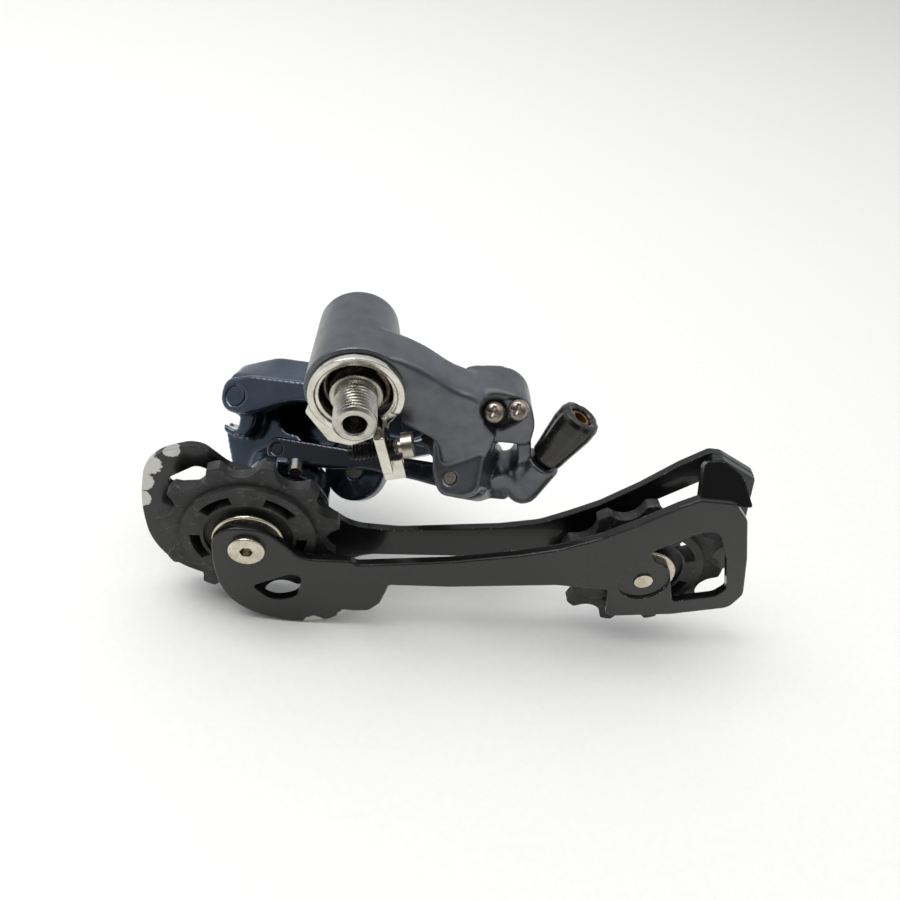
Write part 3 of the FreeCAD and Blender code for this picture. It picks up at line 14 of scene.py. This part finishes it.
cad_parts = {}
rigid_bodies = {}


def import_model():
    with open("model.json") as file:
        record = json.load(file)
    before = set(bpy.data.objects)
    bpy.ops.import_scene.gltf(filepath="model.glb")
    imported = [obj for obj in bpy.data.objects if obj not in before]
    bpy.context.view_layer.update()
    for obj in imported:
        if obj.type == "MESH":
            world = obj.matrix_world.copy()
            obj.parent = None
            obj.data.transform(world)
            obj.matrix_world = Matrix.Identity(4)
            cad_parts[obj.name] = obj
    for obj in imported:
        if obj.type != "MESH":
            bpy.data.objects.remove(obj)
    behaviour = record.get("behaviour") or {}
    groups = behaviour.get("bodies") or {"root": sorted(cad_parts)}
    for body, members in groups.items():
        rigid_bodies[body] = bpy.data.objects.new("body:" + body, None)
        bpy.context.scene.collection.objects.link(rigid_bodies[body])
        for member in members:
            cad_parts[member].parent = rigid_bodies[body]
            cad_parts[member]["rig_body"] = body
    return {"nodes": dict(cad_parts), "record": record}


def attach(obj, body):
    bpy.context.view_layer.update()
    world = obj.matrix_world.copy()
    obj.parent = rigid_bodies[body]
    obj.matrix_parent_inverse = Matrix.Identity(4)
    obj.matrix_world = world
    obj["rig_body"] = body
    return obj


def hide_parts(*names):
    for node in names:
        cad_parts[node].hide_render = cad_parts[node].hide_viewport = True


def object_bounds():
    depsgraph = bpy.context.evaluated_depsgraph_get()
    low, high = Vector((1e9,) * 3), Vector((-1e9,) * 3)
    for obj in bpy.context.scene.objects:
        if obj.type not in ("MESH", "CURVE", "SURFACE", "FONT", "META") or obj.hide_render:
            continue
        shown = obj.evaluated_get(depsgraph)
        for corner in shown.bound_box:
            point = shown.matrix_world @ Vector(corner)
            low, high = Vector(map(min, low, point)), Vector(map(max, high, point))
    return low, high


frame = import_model()
CAD_BOX = [list(corner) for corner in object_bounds()]
MM = 0.001
print("CAD box in mm", [[round(v / MM, 1) for v in corner] for corner in CAD_BOX])

# %% [markdown]
# The camera comes first, because everything is judged from the photographer's seat.
# It stands 220 mm from the part, looks down at 41 degrees and leans a little to one side.
# It could be aimed with a Track To constraint, but that keeps the horizon level. This one leans,
# so the matrix is built from the three directions of the camera's own axes.

# %% Camera
TARGET = Vector((23.9, 2.0, -14.3)) * MM
EYE = Vector((-8.918, -160.760, 130.033)) * MM
RIGHT = Vector((0.98364, -0.04324, 0.17490))
UP = Vector((-0.10103, 0.67141, 0.73416))
BACK = Vector((-0.14917, -0.73982, 0.65606))
LENS_MM = 36.92
SENSOR_MM = 36.0
NEAREST = 0.01  # the camera draws nothing nearer than this, in metres


def facing(right, up, back, place):
    """A matrix from three directions and a place."""
    matrix = Matrix((right, up, back)).transposed().to_4x4()
    matrix.translation = place
    return matrix


camera_data = bpy.data.cameras.new("camera")
camera_data.lens = LENS_MM
camera_data.sensor_width = SENSOR_MM
camera_data.clip_start = NEAREST
camera = bpy.data.objects.new("camera", camera_data)
bpy.context.scene.collection.objects.link(camera)
camera.matrix_world = facing(RIGHT, UP, BACK, EYE)
bpy.context.scene.camera = camera
bpy.context.scene.view_settings.view_transform = "Standard"
print("camera distance in mm", round((EYE - TARGET).length / MM, 1))

# %% [markdown]
# Colours are given as sRGB hex values, as on a paint card.
# Blender's shaders want linear light, so one function turns the one into the other.

# %% Colour


def paint(text):
    """Linear colour from an sRGB hex value such as '8a8d92'."""
    parts = [int(text[i:i + 2], 16) / 255 for i in (0, 2, 4)]
    return tuple(c / 12.92 if c <= 0.04045 else ((c + 0.055) / 1.055) ** 2.4 for c in parts) + (1.0,)


print("mid grey 808080 is linear", round(paint("808080")[0], 3))

# %% [markdown]
# Materials are node trees. One small function adds any node: its settings go to sockets
# where the node has a socket of that name or number, and to plain properties otherwise,
# and its links say which output feeds which socket.

# %% Nodes


def add(tree, kind, settings, links=()):
    """Add a shader node with its settings and links, and return it."""
    node = tree.nodes.new("ShaderNode" + kind)
    for key, value in settings.items():
        if isinstance(key, str) and key not in node.inputs:
            setattr(node, key, value)
    for key, value in settings.items():
        if not isinstance(key, str) or key in node.inputs:
            node.inputs[key].default_value = value
    for socket, source in links:
        tree.links.new(source, node.inputs[socket])
    return node


def per(size_mm):
    """Texture scale at which one feature is that many millimetres, in metre coordinates."""
    return 1.0 / (size_mm * MM)


print("a grain of 0.2 mm has scale", round(per(0.2)))

# %% [markdown]
# Every finish here follows the same story. A base coat has slow variation from handling and grease,
# and a fine grain from how it was made. Its edges are softened by the Bevel node, and the same node
# finds the edges: where the softened normal leaves the true one, paint has rubbed through to metal.
# Painted masks or curvature baked into the mesh would do that too, but the Bevel node needs neither.
# Worn places that the photograph shows are balls of a few millimetres, broken up by noise.

# %% The layered finish
MIX = {"data_type": "RGBA"}
CHIP_MM = 1.1       # size of one paint chip
BARE_ROUGH = 0.32   # roughness of the metal under the paint
DUST_ROUGH = 0.75   # roughness where dust lies
COAT_ROUGH = 0.06   # roughness of the clear coat


def layered(name, coat, deep, rough, cloud_mm=6.0, grain_mm=0.25, grain_height=0.01, bare=None, wear=0.0,
            edge_mm=0.25, metallic=0.0, spots=(), clear=0.0, dust=None, dust_share=0.0, dust_mm=1.2,
            stretch=(1.0, 1.0, 1.0), specular=0.5):
    """Base coat, grain, edge wear, rubbed places and dust on one Principled shader."""
    material = bpy.data.materials.new(name)
    material.use_nodes = True
    tree = material.node_tree
    tree.nodes.clear()
    # base coat: two tones and two roughnesses that change slowly
    here = add(tree, "TexCoord", {}).outputs["Object"]
    drawn = add(tree, "Mapping", {"Scale": stretch}, [("Vector", here)]).outputs["Vector"]
    cloud = add(tree, "TexNoise", {"Scale": per(cloud_mm), "Detail": 4.0, "Roughness": 0.6},
                [("Vector", here)])
    grain = add(tree, "TexNoise", {"Scale": per(grain_mm), "Detail": 3.0, "Roughness": 0.55},
                [("Vector", drawn)])
    share = add(tree, "MapRange", {"From Min": 0.35, "From Max": 0.65}, [("Value", cloud.outputs["Fac"])])
    colour = add(tree, "Mix", {**MIX, 6: paint(coat), 7: paint(deep)},
                 [(0, share.outputs["Result"])]).outputs[2]
    roughness = add(tree, "MapRange", {"From Min": 0.3, "From Max": 0.7, "To Min": rough[0],
                                       "To Max": rough[1]},
                    [("Value", cloud.outputs["Fac"])]).outputs["Result"]
    soft = add(tree, "Bevel", {"samples": 4, "Radius": edge_mm * MM})
    metal = None
    if dust:
        # dust lies in specks: a larger share lowers the height of the noise from which it lies
        speck = add(tree, "TexNoise", {"Scale": per(dust_mm), "Detail": 6.0, "Roughness": 0.7},
                    [("Vector", here)])
        low = 0.72 - 0.35 * dust_share
        lying = add(tree, "MapRange", {"From Min": low, "From Max": low + 0.12},
                    [("Value", speck.outputs["Fac"])])
        colour = add(tree, "Mix", {**MIX, 7: paint(dust)},
                     [(0, lying.outputs["Result"]), (6, colour)]).outputs[2]
        roughness = add(tree, "Mix", {3: DUST_ROUGH},
                        [(0, lying.outputs["Result"]), (2, roughness)]).outputs[0]
    if bare:
        # chips on the edges, where the softened normal leaves the true one
        true = add(tree, "NewGeometry", {}).outputs["Normal"]
        bend = add(tree, "VectorMath", {"operation": "DOT_PRODUCT"},
                   [(0, soft.outputs["Normal"]), (1, true)])
        edge = add(tree, "MapRange", {"From Min": 0.985, "From Max": 0.90},
                   [("Value", bend.outputs["Value"])])
        chips = add(tree, "TexNoise", {"Scale": per(CHIP_MM), "Detail": 5.0, "Roughness": 0.7},
                    [("Vector", here)])
        torn = add(tree, "MapRange", {"From Min": 0.68 - 0.3 * wear, "From Max": 0.74 - 0.3 * wear},
                   [("Value", chips.outputs["Fac"])])
        gone = add(tree, "Math", {"operation": "MULTIPLY"},
                   [(0, edge.outputs["Result"]), (1, torn.outputs["Result"])]).outputs[0]
        # rubbed places: full in the inner half of each ball, ragged towards its rim
        for centre, radius in spots:
            away = add(tree, "VectorMath", {"operation": "DISTANCE", 1: Vector(centre) * MM},
                       [(0, here)])
            near = add(tree, "MapRange", {"From Min": radius * MM, "From Max": radius * MM * 0.55,
                                          "To Min": -0.5, "To Max": 0.32},
                       [("Value", away.outputs["Value"])])
            ragged = add(tree, "Math", {"operation": "ADD"},
                         [(0, near.outputs["Result"]), (1, chips.outputs["Fac"])]).outputs[0]
            rubbed = add(tree, "MapRange", {"From Min": 0.58, "From Max": 0.66}, [("Value", ragged)])
            gone = add(tree, "Math", {"operation": "MAXIMUM"},
                       [(0, gone), (1, rubbed.outputs["Result"])]).outputs[0]
        colour = add(tree, "Mix", {**MIX, 7: paint(bare)}, [(0, gone), (6, colour)]).outputs[2]
        roughness = add(tree, "Mix", {3: BARE_ROUGH}, [(0, gone), (2, roughness)]).outputs[0]
        metal = add(tree, "Mix", {2: metallic, 3: 1.0}, [(0, gone)]).outputs[0]
    height = add(tree, "Bump", {"Strength": 0.6, "Distance": grain_height * MM},
                 [("Height", grain.outputs["Fac"]), ("Normal", soft.outputs["Normal"])])
    links = [("Base Color", colour), ("Roughness", roughness), ("Normal", height.outputs["Normal"])]
    if metal:
        links.append(("Metallic", metal))
    shader = add(tree, "BsdfPrincipled", {"Metallic": metallic, "Coat Weight": clear,
                                          "Coat Roughness": COAT_ROUGH, "Specular IOR Level": specular},
                 links)
    add(tree, "OutputMaterial", {}, [("Surface", shader.outputs["BSDF"])])
    print("finish", name, "has", len(tree.nodes), "nodes")
    return material


# %% [markdown]
# The knuckle is cast aluminium, blasted and anodised grey: a fine, even, half-metallic satin.
# The links are the same alloy under a smooth, glossy, blue-black lacquer that mirrors the sky.
# A metallic base under a clear coat gives that depth, where a plain glossy black would look like tar.
# The marks of the grit are finer than 0.1 mm: the grain is drawn at 0.18 mm, so that it shows.

# %% Aluminium finishes
anodised_aluminium = layered(
    "anodised_aluminium_satin", "66676b", "58595e", (0.28, 0.36), grain_mm=0.18, grain_height=0.012,
    metallic=0.8, bare="c3c4c6", wear=0.05, edge_mm=0.35)
link_lacquer = layered(
    "glossy_lacquer_slate", "4e5866", "404957", (0.13, 0.22), grain_mm=0.5, grain_height=0.003,
    metallic=0.85, clear=0.5, edge_mm=0.35, dust="575349", dust_share=0.1)
black_lacquer = layered(
    "glossy_lacquer_black", "141a25", "0c1018", (0.16, 0.26), grain_mm=0.5, grain_height=0.004,
    metallic=0.4, clear=0.6, edge_mm=0.3, dust="4a4640", dust_share=0.15)

# %% [markdown]
# The cage plates are pressed aluminium with satin black paint. The broad faces carry a little chain
# dirt, and the paint has chipped to bright metal along the lower edges and on the hook, which meets
# the ground first. The balls below say where: centre in mm and radius in mm.

# %% Cage paint
HOOK_WEAR = [((-50, 6.6, -45), 4.5), ((-49.5, 6.6, -39), 5.0), ((-47.5, 6.6, -33), 5.0),
             ((-42, 6.6, -27.5), 3.5)]
BELLY_WEAR = [((-3.0, -4.8, -76.0), 4.6), ((5.5, -4.8, -71.8), 4.2)]
cage_paint = layered(
    "satin_black_paint", "0f0f10", "0a0a0b", (0.24, 0.36), cloud_mm=14, grain_mm=0.3, grain_height=0.010,
    metallic=0.1, bare="b9b8b4", wear=0.32, edge_mm=0.55, spots=HOOK_WEAR + BELLY_WEAR, clear=0.25,
    specular=0.4, dust="55504a", dust_share=0.12, dust_mm=0.9)

# %% [markdown]
# Pulleys are moulded from glass-filled nylon, which is matt and holds a grey film of dust and grease.
# The adjuster's knob is moulded acetal, smoother and nearly glossy, with brown dirt in its specks.

# %% Resin and rubber
pulley_resin = layered(
    "moulded_nylon_dusty", "2c2b2b", "211f1f", (0.55, 0.68), cloud_mm=5, grain_mm=0.35, grain_height=0.03,
    dust="5a5551", dust_share=0.45, dust_mm=1.8, edge_mm=0.35)
knob_resin = layered(
    "moulded_acetal_black", "0d0e11", "14110c", (0.18, 0.3), cloud_mm=3, grain_height=0.006,
    dust="6b5130", dust_share=0.35, dust_mm=1.6, edge_mm=0.4)
seal_rubber = layered("greasy_rubber", "0c0b0a", "171410", (0.3, 0.5), cloud_mm=2)

# %% [markdown]
# Bare metals differ mostly in colour and in the grain that the tool left.
# Chrome is cool and nearly mirror smooth, nickel is warmer, turned steel has fine rings.

# %% Bare metals
chrome = layered(
    "chrome_plate", "d8d5cc", "c2bdb0", (0.10, 0.22), cloud_mm=4, grain_height=0.004, metallic=1.0,
    dust="6e5c40", dust_share=0.28, dust_mm=1.5, edge_mm=0.35)
turned_steel = layered(
    "turned_steel", "c4c1ba", "a9a59c", (0.22, 0.34), cloud_mm=3, grain_mm=0.12, grain_height=0.006,
    metallic=1.0, dust="5b5144", dust_share=0.15, stretch=(1, 4, 1), edge_mm=0.15)
nickel = layered(
    "nickel_plate", "cfc8b8", "b9b09c", (0.2, 0.32), cloud_mm=2.5, grain_height=0.004, metallic=1.0,
    dust="7a6138", dust_share=0.3, dust_mm=1.2, edge_mm=0.2)
screw_steel = layered(
    "zinc_plated_steel_rusty", "a39c92", "7f776c", (0.28, 0.42), cloud_mm=1.4, grain_height=0.008,
    metallic=1.0, dust="71431d", dust_share=0.5, dust_mm=0.9, edge_mm=0.15)
# the tension screw is black on its thread, and rubbed bright at its head
SCREW_HEAD_WEAR = [((13.4, -3.4, -9.1), 5.5)]
black_oxide = layered(
    "black_oxide_steel", "2a2724", "1b1917", (0.3, 0.45), cloud_mm=1.5, grain_height=0.01, metallic=0.8,
    bare="b3aca1", wear=0.35, edge_mm=0.15, dust="5e4326", dust_share=0.3, dust_mm=1.0,
    spots=SCREW_HEAD_WEAR)
spring_steel = layered(
    "oiled_spring_steel", "6a6257", "3a342c", (0.22, 0.4), cloud_mm=2, grain_height=0.006, metallic=0.9,
    dust="3b2f20", dust_share=0.5, dust_mm=1.5, edge_mm=0.1)
brass = layered(
    "worn_brass", "9a7442", "6e4a22", (0.25, 0.5), cloud_mm=1.2, grain_height=0.01, metallic=0.9,
    dust="3a2915", dust_share=0.45, dust_mm=0.8)

# %% [markdown]
# Each CAD node now takes the finish of its record slot. Only the material slots change,
# the shapes stay as the CAD made them.

# %% Dress the CAD nodes
NODE_FINISH = {
    "b_tension_screw": black_oxide, "pin_inner_cage": black_lacquer, "pin_outer_cage": link_lacquer,
    "pin_outer_knuckle": link_lacquer, "inner_link": black_lacquer,
}
FINISH = {
    "steel_bolt": turned_steel, "chrome_plate": chrome, "screw_steel": screw_steel,
    "knuckle_grey": anodised_aluminium, "bushing_resin": seal_rubber, "spring_steel": spring_steel,
    "gloss_black_resin": knob_resin, "brass": brass, "link_black": black_lacquer,
    "link_grey": link_lacquer, "pin_steel": screw_steel, "knuckle_black": link_lacquer,
    "cage_black": cage_paint, "pulley_resin": pulley_resin, "bushing_metal": nickel, "nickel": nickel,
}
slot_of = {s["node"]: s["material_slot"] for s in frame["record"]["subparts"]}
for name, thing in frame["nodes"].items():
    finish = NODE_FINISH.get(name, FINISH[slot_of[name]])
    thing.data.materials.clear()
    thing.data.materials.append(finish)
print("dressed", len(frame["nodes"]), "CAD nodes")

# %% [markdown]
# Castings have no sharp corners: metal flows into every inside corner as a fillet.
# The CAD has the true sizes but hard joints between its bodies. A bevel fails on such crossings,
# so we copy the mesh, remesh it into small even cells and let a smoothing pass pull the joints round.
# Balls mark the places where the real casting flows furthest, and are smoothed again.

# %% Cast forms
RIM_MM = 3  # a blend ball fades out over this depth


def relaxed(mesh, balls, passes):
    """The mesh again, smoothed further inside soft-edged balls."""
    draft = bpy.data.objects.new("draft", mesh)
    bpy.context.scene.collection.objects.link(draft)
    group = draft.vertex_groups.new(name="blend")
    for point in mesh.vertices:
        weight = max(min(1.0, (radius * MM - (point.co - Vector(centre) * MM).length) / (RIM_MM * MM))
                     for centre, radius in balls)
        if weight > 0:
            group.add([point.index], weight, "REPLACE")
    relax = draft.modifiers.new("relax", "SMOOTH")
    relax.factor = 0.5
    relax.iterations = passes
    relax.vertex_group = "blend"
    state = bpy.context.evaluated_depsgraph_get()
    result = bpy.data.meshes.new_from_object(draft.evaluated_get(state))
    bpy.data.objects.remove(draft)
    return result


def cast(node, name, cell_mm, passes, blend=(), blend_passes=0):
    """A rounded copy of a CAD node that stands for it. Balls (centre, radius) are relaxed further."""
    source = frame["nodes"][node]
    draft = bpy.data.objects.new("draft", source.data.copy())
    bpy.context.scene.collection.objects.link(draft)
    cells = draft.modifiers.new("cells", "REMESH")
    cells.mode = "VOXEL"
    cells.voxel_size = cell_mm * MM
    relax = draft.modifiers.new("relax", "SMOOTH")
    relax.factor = 0.5
    relax.iterations = passes
    state = bpy.context.evaluated_depsgraph_get()
    mesh = bpy.data.meshes.new_from_object(draft.evaluated_get(state))
    bpy.data.objects.remove(draft)
    if blend:
        mesh = relaxed(mesh, blend, blend_passes)
    mesh.polygons.foreach_set("use_smooth", [True] * len(mesh.polygons))
    thing = bpy.data.objects.new(name, mesh)
    bpy.context.scene.collection.objects.link(thing)
    mesh.materials.clear()
    mesh.materials.append(source.data.materials[0])
    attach(thing, source["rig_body"])
    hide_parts(node)
    print(name, "has", len(mesh.vertices), "points")


ARM_BLENDS = (((13, 10, 7), 9.5), ((20, 9, 4), 8), ((30, 10, 0), 8), ((41, 12, -1), 6), ((25, 6, -13), 5),
              ((44, 9, -27), 7))
cast("b_knuckle", "knuckle_casting", 0.42, 9, ARM_BLENDS, 70)
cast("outer_link", "outer_link_casting", 0.42, 5)
cast("p_knuckle", "cage_knuckle_casting", 0.45, 5)
cast("stopper_plate", "stopper_pressing", 0.22, 4)
cast("inner_link", "inner_link_casting", 0.35, 3)

# %% [markdown]
# Turned parts are drawn as half a profile and swept round an axis, like work in a lathe.
# A tweak function may move each point as it goes round: that is how the thread, the key
# sockets and the cross recesses are cut without any boolean.

# %% The lathe
ON_AXIS = 0.01              # a profile that starts nearer the axis than this, in mm, isn't a tube
WELD = 1e-7                 # points nearer than this, in metres, become one
CREASE = math.radians(38)   # steeper edges than this stay sharp


def lathe(name, profile, base, axis, finish, body, node, step=0.25, around=72, tweak=None):
    """Sweep (radius, height) points in mm about an axis, as one closed skin."""
    points = []
    for (r0, h0), (r1, h1) in zip(profile, profile[1:]):
        count = max(1, math.ceil(math.hypot(r1 - r0, h1 - h0) / step))
        points += [(r0 + (r1 - r0) * i / count, h0 + (h1 - h0) * i / count) for i in range(count)]
    points.append(profile[-1])
    mesh = bpy.data.meshes.new(name)
    work = bmesh.new()
    rings = []
    for radius, height in points:
        ring = []
        for k in range(around):
            turn = 2 * math.pi * k / around
            r, h = tweak(turn, radius, height) if tweak else (radius, height)
            ring.append(work.verts.new((r * math.cos(turn) * MM, r * math.sin(turn) * MM, h * MM)))
        rings.append(ring)
    closed = profile[0][0] > ON_AXIS
    for low, high in zip(rings, rings[1:] + ([rings[0]] if closed else [])):
        for k in range(around):
            n = (k + 1) % around
            work.faces.new((low[k], low[n], high[n], high[k]))
    bmesh.ops.remove_doubles(work, verts=work.verts, dist=WELD)
    bmesh.ops.recalc_face_normals(work, faces=work.faces)
    work.to_mesh(mesh)
    work.free()
    mesh.polygons.foreach_set("use_smooth", [True] * len(mesh.polygons))
    mesh.set_sharp_from_angle(angle=CREASE)
    mesh.materials.append(finish)
    axis = Vector(axis).normalized()
    side = axis.cross(Vector((0, 0, 1)) if abs(axis.z) < 0.9 else Vector((1, 0, 0))).normalized()
    mesh.transform(facing(side, axis.cross(side), axis, Vector(base) * MM))
    thing = bpy.data.objects.new(name, mesh)
    bpy.context.scene.collection.objects.link(thing)
    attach(thing, body)
    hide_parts(node)
    print(name, "turned with", len(mesh.vertices), "points")


def hexagonal(turn, across):
    """Distance from the middle to the side of a hexagon, in that direction."""
    return across / 2 / math.cos((turn % (math.pi / 3)) - math.pi / 6)


def ridge(turn, height, pitch):
    """Thread profile from 0 at the root to 1 at the crest."""
    phase = (height / pitch - turn / (2 * math.pi)) % 1.0
    return min(1.0, 1.35 * (1 - abs(2 * phase - 1)))


# %% [markdown]
# The hanger bolt is hollow steel with an M10 thread of 1 mm pitch, cut 0.62 mm deep. Its outer end
# has a 6 mm key socket. The thread could be a bump, but its crests show against the light.

# %% Hanger bolt
THREAD_FROM, THREAD_TO = -9.0, -1.4
THREAD_PITCH, THREAD_DEEP = 1.0, 0.62
KEY_ACROSS = 6.0


def bolt_shape(turn, radius, height):
    """Cut the thread, which runs out at both ends, and the key socket."""
    if THREAD_FROM < height < THREAD_TO and radius > 4.5:
        end = min(1.0, (height - THREAD_FROM) / 0.8, (THREAD_TO - height) / 0.5)
        return radius - THREAD_DEEP * (1 - ridge(turn, height, THREAD_PITCH)) * max(0.0, end), height
    if height > 26.4 and 2.7 < radius < 3.3:
        return hexagonal(turn, KEY_ACROSS), height
    return radius, height


lathe("threaded_hanger_bolt",
      [(2.65, 26.5), (2.65, -9.2), (2.95, -9.5), (4.25, -9.5), (4.92, -8.9), (4.92, -1.2), (4.35, -0.9),
       (4.35, 0.0), (5.7, 0.0), (6.0, 0.3), (6.0, 29.9), (8.0, 29.9), (8.0, 30.9), (7.2, 31.5),
       (3.2, 31.5), (3.2, 26.5)],
      (0, 0, 0), (0, 1, 0), turned_steel, "mount", "mounting_bolt", step=0.14, around=96,
      tweak=bolt_shape)

# %% [markdown]
# The limit screws have small domed heads with a cross recess, and some rust from road water.
# They lie along the links' pins, leaning a little away from the wheel, so their axis comes from
# the pins' direction.

# %% Limit screws


def cross_recess(reach, width, face, deep):
    """Tweak that sinks a cross into the face of a head."""
    def shape(turn, radius, height):
        if abs(height - face) > 0.75 or radius > reach:
            return radius, height
        x, y = abs(radius * math.cos(turn)), abs(radius * math.sin(turn))
        inside = min(x, y) < width / 2
        slope = max(0.0, 1 - radius / reach)
        return radius, height + (deep * (0.35 + 0.65 * slope) if inside else 0.0)
    return shape


def link_axes():
    """The pins' direction, the links' direction and the one across both."""
    pin = Vector((0.4209, 0.6313, -0.6514)).normalized()
    along = Vector((-0.9037, 0.3538, -0.2410))
    along = (along - pin * pin.dot(along)).normalized()
    return pin, along, pin.cross(along)


PIN, ALONG, ACROSS = link_axes()
LIMIT_AXIS = (PIN + Vector((0, 0.25, 0))).normalized()
for which, spot in (("high", (32.8, 4.9, -3.6)), ("low", (38.3, 4.9, -2.2))):
    lathe("limit_screw_%s_domed" % which,
          [(0.001, -2.7), (1.2, -2.65), (2.0, -2.2), (2.45, -1.5), (2.5, -0.6), (2.5, 0.0), (1.95, 0.0),
           (1.95, 9.0), (0.001, 9.0)],
          spot, LIMIT_AXIS, screw_steel, "limit_" + which, "limit_screw_" + which, step=0.16, around=64,
          tweak=cross_recess(1.5, 0.75, -2.5, 1.1))

# %% [markdown]
# The cable adjuster is a moulded knob over a brass tube. It swells towards its open end
# and has four shallow finger grooves. The brass shows in its mouth.

# %% Cable adjuster
KNOB_AXIS = Vector((0.353, 0.02, 0.935)).normalized()
KNOB_AT = Vector((49.4, 8.0, -19.2))


def knob_shape(turn, radius, height):
    """Sink four grooves that deepen towards the mouth."""
    if radius < 2.7 or height < 3.0:
        return radius, height
    grip = max(0.0, math.cos(4 * turn)) ** 3 * min(1.0, (height - 3.0) / 4.0)
    return radius - 0.35 * grip, height


lathe("adjuster_knob",
      [(2.7, 9.5), (2.7, 15.2), (3.0, 15.6), (3.9, 15.9), (4.8, 15.5), (5.3, 14.4), (5.4, 11.5),
       (5.0, 8.0), (4.5, 4.0), (4.2, 1.0), (3.8, 0.5), (2.5, 0.4), (2.5, -7.6), (1.3, -7.8),
       (1.3, 9.5)],
      KNOB_AT, KNOB_AXIS, knob_resin, "adjuster", "barrel_adjuster", around=96, tweak=knob_shape)

# %% [markdown]
# The derailleur lies on a pale, faintly rough table, which is painted in two near whites with
# pores of 2 mm. The table is only a stage: it catches the shadow and isn't part of the object.

# %% Table
FLOOR = CAD_BOX[0][2]
SETTLE = 0.2 * MM   # room under the lowest point
TABLE_HALF = 3.0    # half the table's side, in metres
table_mesh = bpy.data.meshes.new("table")
builder = bmesh.new()
bmesh.ops.create_grid(builder, x_segments=1, y_segments=1, size=TABLE_HALF)
builder.to_mesh(table_mesh)
builder.free()
table = bpy.data.objects.new("table", table_mesh)
table.location = (0, 0, FLOOR - SETTLE)
bpy.context.scene.collection.objects.link(table)
table_paint = bpy.data.materials.new("chalky_table_paint")
table_paint.use_nodes = True
tree = table_paint.node_tree
tree.nodes.clear()
here = add(tree, "TexCoord", {}).outputs["Object"]
pores = add(tree, "TexNoise", {"Scale": per(2.2), "Detail": 6.0, "Roughness": 0.65}, [("Vector", here)])
tone = add(tree, "Mix", {**MIX, 6: paint("f1f1ee"), 7: paint("e9e8e3")}, [(0, pores.outputs["Fac"])])
relief = add(tree, "Bump", {"Strength": 0.35, "Distance": 0.3 * MM}, [("Height", pores.outputs["Fac"])])
lit = add(tree, "BsdfPrincipled", {"Roughness": 0.85},
          [("Base Color", tone.outputs[2]), ("Normal", relief.outputs["Normal"])])
add(tree, "OutputMaterial", {}, [("Surface", lit.outputs["BSDF"])])
table_mesh.materials.append(table_paint)
print("table top at", round(table.location.z / MM, 2), "mm")

# %% [markdown]
# Two soft lamps and a bright sky: one high on the left, as from a window, which puts the long
# highlights on the barrel and links, and a wide one overhead. An image of a real sky would give
# richer reflections, but a plain gradient is easier to judge. It is dark on the photographer's side,
# so glossy faces turned that way look deep. The camera itself sees a plain pale backdrop instead.

# %% Lamps


def lamp(name, place, size, power, colour):
    """Square area lamp that points at the middle of the part."""
    data = bpy.data.lights.new(name, "AREA")
    data.shape = "SQUARE"
    data.size = size
    data.energy = power
    data.color = paint(colour)[:3]
    thing = bpy.data.objects.new(name, data)
    bpy.context.scene.collection.objects.link(thing)
    place = Vector(place)
    thing.matrix_world = (TARGET - place).to_track_quat("-Z", "Y").to_matrix().to_4x4()
    thing.matrix_world.translation = place
    print(name, "lamp,", power, "W,", round((TARGET - place).length, 2), "m away")


lamp("window", (-0.42, 0.05, 0.85), 0.6, 6.0, "fbfdff")
lamp("ceiling", (0.15, -0.05, 1.1), 1.4, 7.0, "fffaf4")
world = bpy.data.worlds.new("sky")
bpy.context.scene.world = world
world.use_nodes = True
sky = world.node_tree
sky.nodes.clear()
FRONT = Vector((-0.05, -0.72, 0.69))  # from the part towards the photographer
way = add(sky, "TexCoord", {}).outputs["Generated"]
lean = add(sky, "VectorMath", {"operation": "DOT_PRODUCT", 1: FRONT}, [(0, way)])
dim = add(sky, "MapRange", {"From Min": 0.35, "From Max": 0.9}, [("Value", lean.outputs["Value"])])
shade = add(sky, "Mix", {**MIX, 6: paint("f4f8fd"), 7: paint("1f2125")},
            [(0, dim.outputs["Result"])])
glow = add(sky, "Background", {"Strength": 0.85}, [("Color", shade.outputs[2])])
pale = add(sky, "Background", {"Strength": 1.0, "Color": paint("eef0f1")})
ray = add(sky, "LightPath", {})
seen = add(sky, "MixShader", {}, [(0, ray.outputs["Is Camera Ray"]), (1, glow.outputs["Background"]),
                                  (2, pale.outputs["Background"])])
add(sky, "OutputWorld", {}, [("Surface", seen.outputs["Shader"])])
